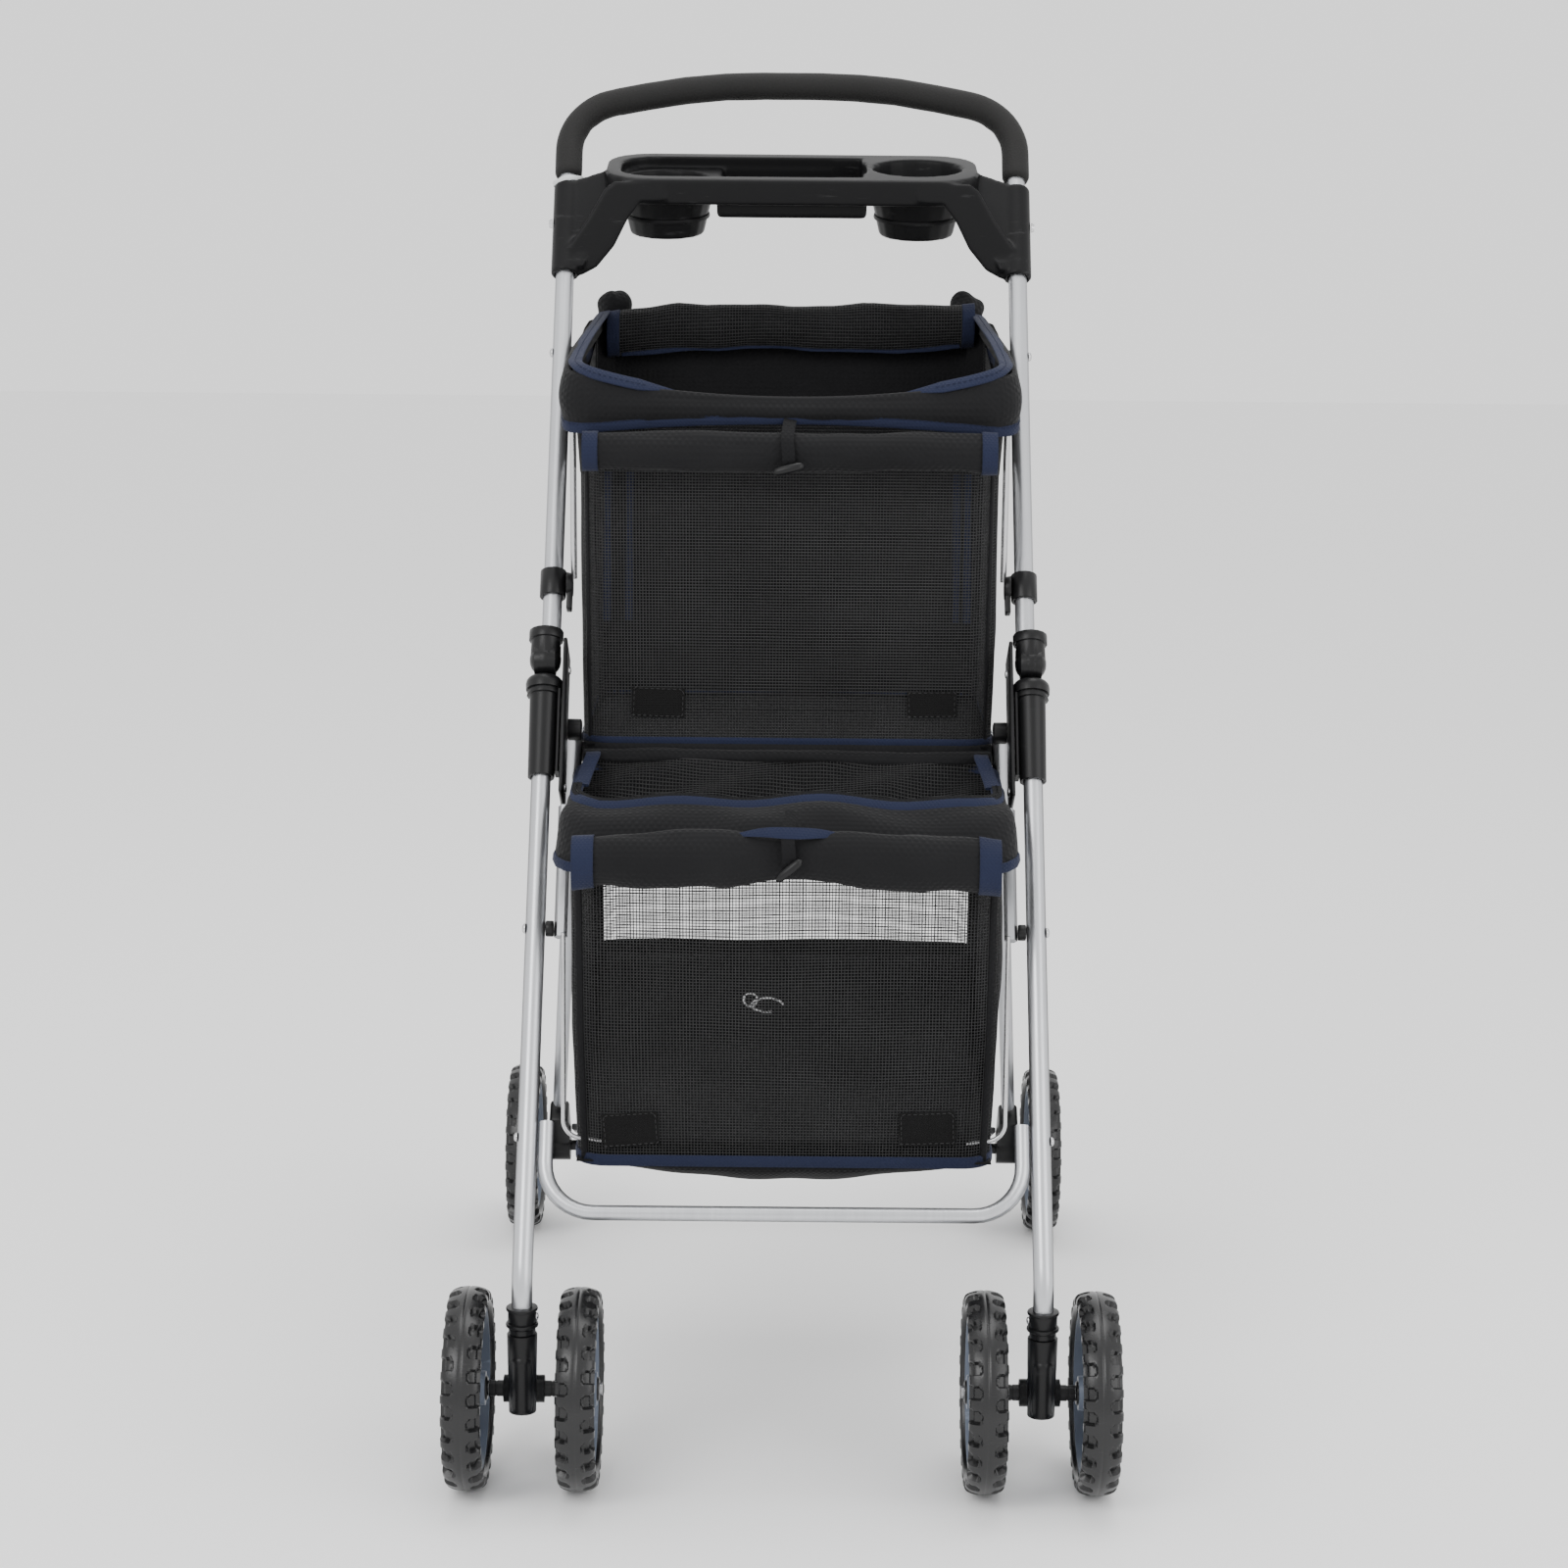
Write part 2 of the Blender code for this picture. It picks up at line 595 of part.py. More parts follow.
slab = rounded_rect(-TRAY_HALF_W, TRAY_HALF_W, TRAY_HALF_D, 0.04)
tray = extruded("cup_tray", slab, TRAY_T / 2, ON_TRAY @ Matrix.Translation((0, 0, -TRAY_T / 2)), PLASTIC)
for sign in (-1, 1):
    x = sign * CUP_X
    ends = (on_tray(x, -0.004), on_tray(x, -CUP_DEPTH))
    join(tray, rod("cup", *ends, CUP_R + TRAY_WALL, CUP_R * CUP_TAPER, None, 20))
pan_size = (2 * BIN_HALF_W, 2 * BIN_HALF_D, BIN_DEPTH - 0.006)
pan_place = ON_TRAY @ Matrix.Translation((0, 0, -(BIN_DEPTH + 0.006) / 2))
join(tray, block("pan", pan_size, pan_place, None, bevel=0.003))
for sign in (-1, 1):
    x = sign * HANDLE_X
    join(tray, rod("bracket", along(ARM_FOOT, x=x), along(ARM_TOP, x=x), ARM_R, ARM_R, None))
    # the web fills in from the tray's end to the bracket, on the tubes' lean
    web = [
        (x - sign * 0.004, 0.000),
        (x - sign * 0.004, -0.084),
        (x - sign * 0.016, -0.084),
        (x - sign * 0.030, -0.046),
        (x - sign * 0.052, -0.014),
        (x - sign * 0.062, 0.006),
        (x - sign * 0.030, 0.010),
    ]
    place = on_lean(along(ARM_TOP, -0.007)) @ FACE_ON
    join(tray, extruded("web", web, 0.0025, place, None))
    # the arm sweeps down from the tray's front edge to the bracket's foot
    arm = [
        (x - sign * 0.086, -0.002),
        (x - sign * 0.086, -0.018),
        (x - sign * 0.064, -0.019),
        (x - sign * 0.053, -0.034),
        (x - sign * 0.042, -0.056),
        (x - sign * 0.027, -0.074),
        (x - sign * 0.014, -0.081),
        (x - sign * 0.002, -0.076),
        (x - sign * 0.002, -0.058),
        (x - sign * 0.020, -0.032),
        (x - sign * 0.034, -0.008),
        (x - sign * 0.042, -0.002),
    ]
    place = Matrix.Translation((0, TRAY_FRONT.y + 0.0035, TRAY_FRONT.z)) @ FACE_ON
    join(tray, extruded("arm", arm, 0.003, place, None))
    cut(tray, bore_along(ARM_FOOT - 0.02, ARM_TOP + 0.02, x))
trough = rounded_rect(-TRAY_HALF_W + 0.013, BIN_HALF_W, CUP_R + 0.003, 0.030)
trough_place = ON_TRAY @ Matrix.Translation((0, 0, 0.01 - TROUGH_DEPTH))
cut(tray, extruded("trough", trough, 0.01, trough_place, None, CUTTERS))
for sign in (-1, 1):
    x = sign * CUP_X
    foot_r = CUP_R * CUP_TAPER - TRAY_WALL
    ends = (on_tray(x, 0.01), on_tray(x, TRAY_WALL - CUP_DEPTH))
    cut(tray, rod("well", *ends, CUP_R, foot_r, None, 20, CUTTERS))
bin_size = (2 * (BIN_HALF_W - TRAY_WALL), 2 * (BIN_HALF_D - TRAY_WALL), BIN_DEPTH + 0.02)
bin_place = ON_TRAY @ Matrix.Translation((0, 0, 0.01 - BIN_DEPTH / 2 + TRAY_WALL))
cut(tray, block("bin", bin_size, bin_place, None, bevel=0.003, group=CUTTERS))
handle_pieces.append(tray)
for side, sign in SIDES:
    start = along(ARM_BOLT_AT, x=sign * (HANDLE_X + ARM_R + GAP))
    end = along(ARM_BOLT_AT, x=sign * (HANDLE_X + ARM_R + 0.003))
    handle_pieces.append(rod(f"tray_bolt_{side}", start, end, 0.0042, 0.003, STEEL, 12))
hang("handle_pivot", along(FOLD_AT), *handle_pieces)

# Cabins: the side outline of the outer walls, with the inner one cut out, so each is an open shell
ALONG_X = Matrix.Rotation(math.pi / 2, 4, "Z") @ Matrix.Rotation(math.pi / 2, 4, "X")


def cabin(name, outer, inner):
    shell = extruded(name, outer, CABIN_HALF_W, ALONG_X, FABRIC)
    cut(shell, extruded("room", inner, CABIN_HALF_W - WALL, ALONG_X, None, CUTTERS))
    return shell


def inset(points, by):
    """A closed outline moved inwards by a distance."""
    moved = []
    count = len(points)
    for i in range(count):
        here = Vector(points[i])
        into = (here - Vector(points[i - 1])).normalized()
        out = (Vector(points[(i + 1) % count]) - here).normalized()
        normal = Vector((-into.y - out.y, into.x + out.x)).normalized()
        moved.append(here + normal * by / max(normal.dot(Vector((-into.y, into.x))), 0.3))
    return moved


UPPER_FRONT = -0.058
UPPER_BACK = 0.225
UPPER_FLOOR_BACK = 0.180
UPPER_FLOOR = JOINT_Z - 0.057
UPPER_TOP_FRONT = UPPER_FLOOR + 0.281
UPPER_TOP_BACK = UPPER_FLOOR + 0.335
upper_side = [
    (UPPER_FRONT, UPPER_FLOOR),
    (UPPER_FLOOR_BACK, UPPER_FLOOR),
    (UPPER_BACK, UPPER_TOP_BACK),
    (UPPER_FRONT, UPPER_TOP_FRONT),
]
upper_room = inset(upper_side, WALL)
lift = 0.03  # how far the cutter stands above the mouth
upper_room[2] = Vector((UPPER_BACK - WALL + lift * 0.13, UPPER_TOP_BACK + lift))
upper_room[3] = Vector((UPPER_FRONT + WALL, UPPER_TOP_FRONT + lift))
cabin("upper_cabin", upper_side, upper_room)

LOWER_FLOOR = WHEEL_R + 0.113
LOWER_EDGE = LOWER_FLOOR + 0.025
LOWER_TOP = UPPER_FLOOR - 0.012
lower_side = [
    (-0.205, LOWER_EDGE),
    (-0.140, LOWER_FLOOR),
    (0.020, LOWER_FLOOR),
    (0.100, LOWER_EDGE),
    (0.095, LOWER_TOP),
    (-0.150, LOWER_TOP),
    (-0.182, LOWER_TOP - 0.016),
    (-0.222, LOWER_TOP - 0.049),
    (-0.218, LOWER_TOP - 0.119),
]
lower = cabin("lower_cabin", lower_side, inset(lower_side, WALL))
DOOR_FRONT = -0.172
DOOR_BACK = -0.070
door_size = (2 * CABIN_HALF_W - 0.024, DOOR_BACK - DOOR_FRONT, 0.08)
door_place = Matrix.Translation((0, (DOOR_FRONT + DOOR_BACK) / 2, UPPER_FLOOR))
cut(lower, block("door", door_size, door_place, None, group=CUTTERS))

# The bound wire that holds the upper cabin's mouth open, between the upper tubes
RIM_FRONT = UPPER_FRONT - 0.006
RIM_BACK = UPPER_BACK + 0.0075
RIM_FRONT_Z = UPPER_TOP_FRONT - 0.014
RIM_SLOPE = (UPPER_TOP_BACK - UPPER_TOP_FRONT) / (UPPER_BACK - UPPER_FRONT)
RIM_BACK_Z = RIM_FRONT_Z + RIM_SLOPE * (RIM_BACK - RIM_FRONT)
wire = [
    (0, RIM_FRONT, RIM_FRONT_Z),
    (RIM_HALF_W, RIM_FRONT, RIM_FRONT_Z),
    (RIM_HALF_W, RIM_BACK, RIM_BACK_Z),
    (-RIM_HALF_W, RIM_BACK, RIM_BACK_Z),
    (-RIM_HALF_W, RIM_FRONT, RIM_FRONT_Z),
    (-0.001, RIM_FRONT, RIM_FRONT_Z),
]
tube("upper_rim_wire", rounded(wire, [0.02] * 4, math.radians(30)), RIM_R, STEEL, sides=2)
print("pet stroller:", len([made for made in PARTS.objects if made.type != "EMPTY"]), "pieces")
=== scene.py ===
import json
import math

import bmesh
import bpy
from mathutils import Matrix, Vector, noise

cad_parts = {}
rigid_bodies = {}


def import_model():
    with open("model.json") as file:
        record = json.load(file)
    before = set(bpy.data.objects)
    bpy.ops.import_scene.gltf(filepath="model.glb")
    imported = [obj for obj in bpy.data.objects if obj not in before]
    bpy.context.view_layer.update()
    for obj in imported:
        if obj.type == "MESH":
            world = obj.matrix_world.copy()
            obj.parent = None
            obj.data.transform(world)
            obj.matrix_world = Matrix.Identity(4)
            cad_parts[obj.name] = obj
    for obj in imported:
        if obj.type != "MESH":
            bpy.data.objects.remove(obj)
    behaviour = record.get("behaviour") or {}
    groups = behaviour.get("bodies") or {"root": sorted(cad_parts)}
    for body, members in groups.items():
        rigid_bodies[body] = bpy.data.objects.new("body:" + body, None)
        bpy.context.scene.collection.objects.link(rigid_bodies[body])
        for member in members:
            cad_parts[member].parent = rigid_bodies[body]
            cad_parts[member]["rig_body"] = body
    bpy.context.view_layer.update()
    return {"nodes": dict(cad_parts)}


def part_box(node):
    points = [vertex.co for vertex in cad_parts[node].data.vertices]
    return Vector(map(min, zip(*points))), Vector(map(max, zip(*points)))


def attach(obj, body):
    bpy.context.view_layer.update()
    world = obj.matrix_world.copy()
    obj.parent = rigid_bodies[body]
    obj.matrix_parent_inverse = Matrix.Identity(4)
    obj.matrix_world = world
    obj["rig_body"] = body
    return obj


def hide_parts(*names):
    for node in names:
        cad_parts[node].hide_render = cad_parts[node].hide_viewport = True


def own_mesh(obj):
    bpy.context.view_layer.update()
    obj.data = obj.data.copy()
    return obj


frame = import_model()
print("frame loaded:", len(frame["nodes"]), "solids")

# Main tubes: lean, hinge and half spacing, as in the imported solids
layout = {
    "lean": math.radians(32.2),
    "hinge": Vector((0, -0.0727, 0.588)),
    "legX": 0.1965,
    "handleX": 0.1925,
    "tubeRadius": 0.0078,
    "handleStart": 0.028,
    "handleReach": 0.536,
    "handleCorner": 0.05,
    "bow": (0.027, 0.075, 0.45),  # rise, half width and bend of the bar's middle
    "foamStart": 0.469,
    "foamRadius": 0.0117,
    "foldPin": 0.014,
    "rearPivot": (-0.034, 0.028),
    "casterY": -0.338,
    "frontAxle": (-0.320, 0.077),
}
upTube = Vector((0, math.sin(layout["lean"]), math.cos(layout["lean"])))
backTube = Vector((0, math.cos(layout["lean"]), -math.sin(layout["lean"])))
sides = (("left", -1), ("right", 1))
cabinCorners = (("front_left", 0.0), ("front_right", 1.0), ("back_right", 2.0), ("back_left", 3.0))
lastPlace = 3.9999  # the end of a wall's run, just short of its start


def along(distance, behind=0.0, x=0.0):
    return layout["hinge"] + upTube * distance + backTube * behind + Vector((x, 0, 0))


def lerp(a, b, t):
    return a + (b - a) * t


def wave(place, scale, seed=0.0):
    return noise.noise(Vector(place) * scale + Vector((seed, seed * 1.7, -seed)))


def turned(degrees, axis):
    return Matrix.Rotation(math.radians(degrees), 3, axis)


def newGroup(name, kind, inputs, outputs):
    tree = bpy.data.node_groups.new(name, kind)
    for label, socketKind, value in inputs:
        socket = tree.interface.new_socket(label, in_out="INPUT", socket_type=socketKind)
        if value is not None:
            socket.default_value = value
    for label, socketKind in outputs:
        tree.interface.new_socket(label, in_out="OUTPUT", socket_type=socketKind)
    return tree, tree.nodes.new("NodeGroupInput").outputs, tree.nodes.new("NodeGroupOutput").inputs


def addNode(tree, kind, inputs, **settings):
    # an input is either a value or the socket it is linked to
    node = tree.nodes.new(kind)
    for label, value in settings.items():
        setattr(node, label, value)
    for label, value in inputs.items():
        if isinstance(value, bpy.types.NodeSocket):
            tree.links.new(value, node.inputs[label])
        else:
            node.inputs[label].default_value = value
    return node


def mathNode(tree, operation, first, second=0.5):
    return addNode(tree, "ShaderNodeMath", {0: first, 1: second}, operation=operation).outputs[0]


def noiseNode(tree, vector, scale, detail, rough=0.55):
    inputs = {"Vector": vector, "Scale": scale, "Detail": detail, "Roughness": rough}
    return addNode(tree, "ShaderNodeTexNoise", inputs).outputs["Fac"]


def rangeNode(tree, value, **ends):
    inputs = {"Value": value}
    for label, end in ends.items():
        inputs[label.replace("_", " ")] = end
    return addNode(tree, "ShaderNodeMapRange", inputs).outputs[0]


def mixColour(tree, amount, dark, light):
    node = addNode(tree, "ShaderNodeMix", {0: amount}, data_type="RGBA")
    for socket, value in ((node.inputs[6], dark), (node.inputs[7], light)):
        if isinstance(value, bpy.types.NodeSocket):
            tree.links.new(value, socket)
        else:
            socket.default_value = (*value, 1)
    return node.outputs[2]


def makeWeave():
    # over-and-under threads on all three axes, with a slow shade drift
    tree, enter, leave = newGroup(
        "clothWeave",
        "ShaderNodeTree",
        [
            ("Vector", "NodeSocketVector", None),
            ("Threads", "NodeSocketFloat", 1400.0),
            ("Drift", "NodeSocketFloat", 18.0),
        ],
        [("Height", "NodeSocketFloat"), ("Shade", "NodeSocketFloat")],
    )
    split = addNode(tree, "ShaderNodeSeparateXYZ", {0: enter["Vector"]})
    waves = []
    for axis in "XYZ":
        turn = mathNode(tree, "MULTIPLY", split.outputs[axis], enter["Threads"])
        waves.append(mathNode(tree, "SINE", turn))
    first = mathNode(tree, "MULTIPLY", waves[0], waves[2])
    second = mathNode(tree, "MULTIPLY", waves[1], waves[2])
    third = mathNode(tree, "MULTIPLY", waves[0], waves[1])
    both = mathNode(tree, "ADD", first, second)
    tree.links.new(mathNode(tree, "ADD", both, third), leave["Height"])
    tree.links.new(noiseNode(tree, enter["Vector"], enter["Drift"], 4), leave["Shade"])
    return tree


def makeGrain():
    # moulded grain and faint scuffs
    tree, enter, leave = newGroup(
        "mouldedGrain",
        "ShaderNodeTree",
        [
            ("Vector", "NodeSocketVector", None),
            ("Grain", "NodeSocketFloat", 900.0),
            ("Scuff", "NodeSocketFloat", 24.0),
        ],
        [("Height", "NodeSocketFloat"), ("Scuffs", "NodeSocketFloat")],
    )
    tree.links.new(noiseNode(tree, enter["Vector"], enter["Grain"], 2), leave["Height"])
    smear = {"Vector": enter["Vector"], "Scale": (1, 3, 7), "Rotation": (0.4, 0.7, 0.3)}
    stretch = addNode(tree, "ShaderNodeMapping", smear)
    marks = noiseNode(tree, stretch.outputs[0], enter["Scuff"], 7, 0.7)
    tree.links.new(rangeNode(tree, marks, From_Min=0.60, From_Max=0.74), leave["Scuffs"])
    return tree


weaveGroup = makeWeave()
grainGroup = makeGrain()


def newMaterial(name, roughness, metallic=0.0, **extra):
    material = bpy.data.materials.new(name)
    material.use_nodes = True
    tree = material.node_tree
    shader = tree.nodes["Principled BSDF"]
    values = {"Roughness": roughness, "Metallic": metallic, **extra}
    for label, value in values.items():
        shader.inputs[label.replace("_", " ")].default_value = value
    place = tree.nodes.new("ShaderNodeTexCoord").outputs["Object"]
    return material, tree, shader, place


def dress(tree, shader, colour, shade, rough, height, distance, strength):
    # base colour, a roughness range driven by the shade, and a bump
    tree.links.new(colour, shader.inputs["Base Color"])
    spread = rangeNode(tree, shade, To_Min=rough[0], To_Max=rough[1])
    tree.links.new(spread, shader.inputs["Roughness"])
    relief = {"Distance": distance, "Strength": strength, "Height": height}
    bump = addNode(tree, "ShaderNodeBump", relief)
    tree.links.new(bump.outputs[0], shader.inputs["Normal"])


def clothMaterial(name, dark, light, threads=1400.0, depth=0.00025, rough=(0.78, 0.92), sheen=0.08):
    look = {"Sheen_Weight": sheen, "Sheen_Roughness": 0.5, "Specular_IOR_Level": 0.16}
    material, tree, shader, place = newMaterial(name, 0.85, **look)
    weave = tree.nodes.new("ShaderNodeGroup")
    weave.node_tree = weaveGroup
    weave.inputs["Threads"].default_value = threads
    tree.links.new(place, weave.inputs["Vector"])
    shade = weave.outputs["Shade"]
    colour = mixColour(tree, shade, dark, light)
    dress(tree, shader, colour, shade, rough, weave.outputs["Height"], depth, 0.5)
    return material


def plasticMaterial(name, dark, scuffed, rough, grain=900.0, depth=0.00008, shine=0.26):
    material, tree, shader, place = newMaterial(name, rough[0], Specular_IOR_Level=shine)
    moulding = tree.nodes.new("ShaderNodeGroup")
    moulding.node_tree = grainGroup
    moulding.inputs["Grain"].default_value = grain
    tree.links.new(place, moulding.inputs["Vector"])
    scuffs = moulding.outputs["Scuffs"]
    colour = mixColour(tree, scuffs, dark, scuffed)
    dress(tree, shader, colour, scuffs, rough, moulding.outputs["Height"], depth, 0.6)
    return material


def metalMaterial(name, dark, light, rough):
    # drawn streaks along the tubes, with a little haze, and painted shade that darkens the colour where
    # the tube turns away from the view
    material, tree, shader, place = newMaterial(name, rough[0], metallic=0.88)
    stretch = addNode(tree, "ShaderNodeMapping", {"Vector": place, "Scale": (260, 12, 12)})
    streak = noiseNode(tree, stretch.outputs[0], 1.0, 5)
    # painted shade: the colour is mixed towards near black at glancing angles, standing in for dark
    # reflections along the tube's sides
    layer = addNode(tree, "ShaderNodeLayerWeight", {"Blend": 0.5})
    edge = rangeNode(tree, layer.outputs["Facing"], From_Min=0.42, From_Max=0.95)
    colour = mixColour(tree, edge, mixColour(tree, streak, dark, light), (0.10, 0.10, 0.11))
    dress(tree, shader, colour, noiseNode(tree, place, 40.0, 4), rough, streak, 0.00003, 0.4)
    return material


def foamMaterial():
    look = {"Sheen_Weight": 0.03, "Specular_IOR_Level": 0.2}
    material, tree, shader, place = newMaterial("gripFoam", 0.75, **look)
    cells = addNode(tree, "ShaderNodeTexVoronoi", {"Vector": place, "Scale": 700.0})
    worn = noiseNode(tree, place, 14.0, 5)
    colour = mixColour(tree, worn, (0.007, 0.007, 0.007), (0.018, 0.0175, 0.017))
    dress(tree, shader, colour, worn, (0.62, 0.85), cells.outputs["Distance"], 0.0004, 0.5)
    return material


silverTube = metalMaterial("silverTube", (0.46, 0.47, 0.49), (0.62, 0.63, 0.65), (0.26, 0.40))
brightSteel = metalMaterial("brightSteel", (0.50, 0.50, 0.51), (0.72, 0.72, 0.73), (0.18, 0.3))
blackPlastic = plasticMaterial(
    "blackPlastic", (0.006, 0.006, 0.0065), (0.018, 0.018, 0.019), (0.34, 0.52)
)
trayPlastic = plasticMaterial(
    "trayPlastic", (0.007, 0.007, 0.0075), (0.034, 0.034, 0.035), (0.42, 0.6), 600.0, 0.0001, 0.13
)
tyreRubber = plasticMaterial(
    "tyreRubber", (0.009, 0.009, 0.0095), (0.022, 0.022, 0.023), (0.27, 0.44), 500.0, 0.0001, 0.42
)
rimPlastic = plasticMaterial("rimPlastic", (0.10, 0.12, 0.16), (0.24, 0.27, 0.33), (0.4, 0.55))
pedalPlastic = plasticMaterial("pedalPlastic", (0.05, 0.05, 0.052), (0.10, 0.10, 0.105), (0.42, 0.6))
clearStrap = plasticMaterial("clearStrap", (0.55, 0.56, 0.56), (0.7, 0.7, 0.7), (0.25, 0.35))
blackCloth = clothMaterial("blackCloth", (0.0035, 0.0035, 0.004), (0.009, 0.009, 0.010), sheen=0.02)
bandCloth = clothMaterial(
    "bandCloth", (0.004, 0.004, 0.0045), (0.011, 0.011, 0.012), 1100.0, 0.0003, sheen=0.05
)
navyTape = clothMaterial(
    "navyTape", (0.0085, 0.011, 0.028), (0.015, 0.0195, 0.045), 2000.0, 0.0002, sheen=0.05
)
netThread = clothMaterial(
    "netThread", (0.016, 0.016, 0.0165), (0.040, 0.040, 0.041), 5000.0, 0.0001, (0.45, 0.6)
)
hookTape = clothMaterial(
    "hookTape", (0.004, 0.004, 0.004), (0.010, 0.010, 0.010), 3200.0, 0.0006, (0.9, 1.0), 0.02
)
gripFoam = foamMaterial()
print("materials ready")


def linkMesh(name, bm, material, body="frame", smooth=40, fix=True):
    if fix:
        bmesh.ops.recalc_face_normals(bm, faces=bm.faces)
    data = bpy.data.meshes.new(name)
    bm.to_mesh(data)
    bm.free()
    data.shade_smooth()
    data.set_sharp_from_angle(angle=math.radians(smooth))
    made = bpy.data.objects.new(name, data)
    bpy.context.scene.collection.objects.link(made)
    data.materials.append(material)
    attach(made, body)
    return made


def addModifier(piece, kind, **values):
    modifier = piece.modifiers.new(kind.lower(), kind)
    for label, value in values.items():
        setattr(modifier, label, value)


def applyAll(piece):
    bpy.context.view_layer.update()
    graph = bpy.context.evaluated_depsgraph_get()
    data = bpy.data.meshes.new_from_object(piece.evaluated_get(graph))
    piece.modifiers.clear()
    piece.data = data
    return piece


def smoothCopy(node, material, angle, bevel=0.0, name=None):
    # a welded, softened copy of a solid that stands for it
    source = frame["nodes"][node]
    bm = bmesh.new()
    bm.from_mesh(source.data)
    bmesh.ops.remove_doubles(bm, verts=bm.verts, dist=1e-6)
    bmesh.ops.dissolve_limit(bm, angle_limit=math.radians(0.5), verts=bm.verts, edges=bm.edges)
    made = linkMesh(name or node + "_skin", bm, material, source["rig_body"], angle)
    if bevel:
        corner = math.radians(35)
        addModifier(made, "BEVEL", width=bevel, segments=2, limit_method="ANGLE", angle_limit=corner)
        applyAll(made)
        made.data.shade_smooth()
        made.data.set_sharp_from_angle(angle=math.radians(60))
    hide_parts(node)


def curveThrough(points, per=8):
    # a smooth line through a few given points
    points = [Vector(p) for p in points]
    count = len(points)
    found = []
    for i in range(count - 1):
        a = points[i - 1] if i else points[0] * 2 - points[1]
        b = points[i]
        c = points[i + 1]
        d = points[i + 2] if i + 2 < count else points[-1] * 2 - points[-2]
        for k in range(per):
            t = k / per
            square = (2 * a - 5 * b + 4 * c - d) * t * t
            cube = (3 * b - a - 3 * c + d) * t ** 3
            found.append(0.5 * (2 * b + (c - a) * t + square + cube))
    found.append(points[-1])
    return found


def rounded(points, radii):
    # straight runs with arcs at the inner corners
    step = math.radians(6)
    points = [Vector(p) for p in points]
    path = [points[0]]
    for before, corner, after, radius in zip(points, points[1:], points[2:], radii):
        into = (corner - before).normalized()
        out = (after - corner).normalized()
        bend = into.angle(out)
        start = corner - into * (radius * math.tan(bend / 2))
        inward = (out - into * into.dot(out)).normalized()
        centre = start + inward * radius
        count = max(3, math.ceil(bend / step))
        for i in range(count + 1):
            a = bend * i / count
            path.append(centre - inward * radius * math.cos(a) + into * radius * math.sin(a))
    path.append(points[-1])
    return path


def joinRings(bm, rings, capped=True):
    for first, second in zip(rings, rings[1:]):
        count = len(first)
        for k in range(count):
            n = (k + 1) % count
            bm.faces.new((first[k], first[n], second[n], second[k]))
    if capped:
        bm.faces.new(rings[0])
        bm.faces.new(rings[-1])


def swept(name, path, outline, up, material, body="frame", closed=False, taper=None):
    # carries a closed outline (across, up) along a path; up is one direction or one for each point
    bm = bmesh.new()
    rings = []
    count = len(path)
    for i, place in enumerate(path):
        before = path[i - 1] if closed or i else path[0]
        after = path[(i + 1) % count] if closed or i + 1 < count else path[-1]
        heading = (after - before).normalized()
        lift = Vector(up[i]) if isinstance(up, list) else Vector(up)
        across = heading.cross(lift).normalized()
        lift = across.cross(heading).normalized()
        size = taper(i / (count - 1)) if taper else 1.0
        rings.append([bm.verts.new(place + across * a * size + lift * b * size) for a, b in outline])
    joinRings(bm, rings + rings[:1] if closed else rings, not closed)
    return linkMesh(name, bm, material, body)


def lathe(name, profile, place, turn, material, body="frame", corners=24, smooth=40):
    # turns (radius, height) pairs about the upright of a turned frame; both ends are closed
    bm = bmesh.new()
    rings = []
    for radius, height in profile:
        ring = []
        for k in range(corners):
            a = 2 * math.pi * k / corners
            spot = Vector((radius * math.cos(a), radius * math.sin(a), height))
            ring.append(bm.verts.new(place + turn @ spot))
        rings.append(ring)
    joinRings(bm, rings)
    return linkMesh(name, bm, material, body, smooth)


def roundOutline(radius, corners, flat=1.0):
    angles = [2 * math.pi * k / corners for k in range(corners)]
    return [(radius * math.cos(a), flat * radius * math.sin(a)) for a in angles]


def bandOutline(width, thick):
    # a flat strap with round edges
    steps = 3
    points = []
    half = width / 2 - thick / 2
    for side in (1, -1):
        for k in range(steps + 1):
            a = math.pi * k / steps - math.pi / 2
            points.append((side * (half + thick / 2 * math.cos(a)), side * thick / 2 * math.sin(a)))
    return points


def gridSheet(bm, place, across, down, closed=False):
    # a surface from place(u, v), with its own UV
    layer = bm.loops.layers.uv.new("UVMap")
    columns = across + (not closed)
    rows = range(down + 1)
    verts = [[bm.verts.new(place(i / across, j / down)) for j in rows] for i in range(columns)]
    for i in range(across):
        k = (i + 1) % across if closed else i + 1
        for j in range(down):
            face = bm.faces.new((verts[i][j], verts[k][j], verts[k][j + 1], verts[i][j + 1]))
            corners = ((i, j), (i + 1, j), (i + 1, j + 1), (i, j + 1))
            for loop, (a, b) in zip(face.loops, corners):
                loop[layer].uv = (a / across, b / down)


def clothSheet(name, place, across, down, thick, material=blackCloth, folds=False, closed=False):
    bm = bmesh.new()
    gridSheet(bm, place, across, down, closed)
    made = linkMesh(name, bm, material, smooth=60, fix=False)
    addModifier(made, "SOLIDIFY", thickness=thick, offset=0.0)
    if folds:
        foldingPieces.append(made)
    return applyAll(made)


def newTree(name, inputs):
    shape = "NodeSocketGeometry"
    inputs = [("Geometry", shape, None), *inputs, ("Material", "NodeSocketMaterial", None)]
    return newGroup(name, "GeometryNodeTree", inputs, [("Geometry", shape)])


def paintAll(tree, geometry, enter, leave):
    inputs = {"Geometry": geometry, "Material": enter["Material"]}
    tree.links.new(addNode(tree, "GeometryNodeSetMaterial", inputs).outputs[0], leave[0])
    return tree


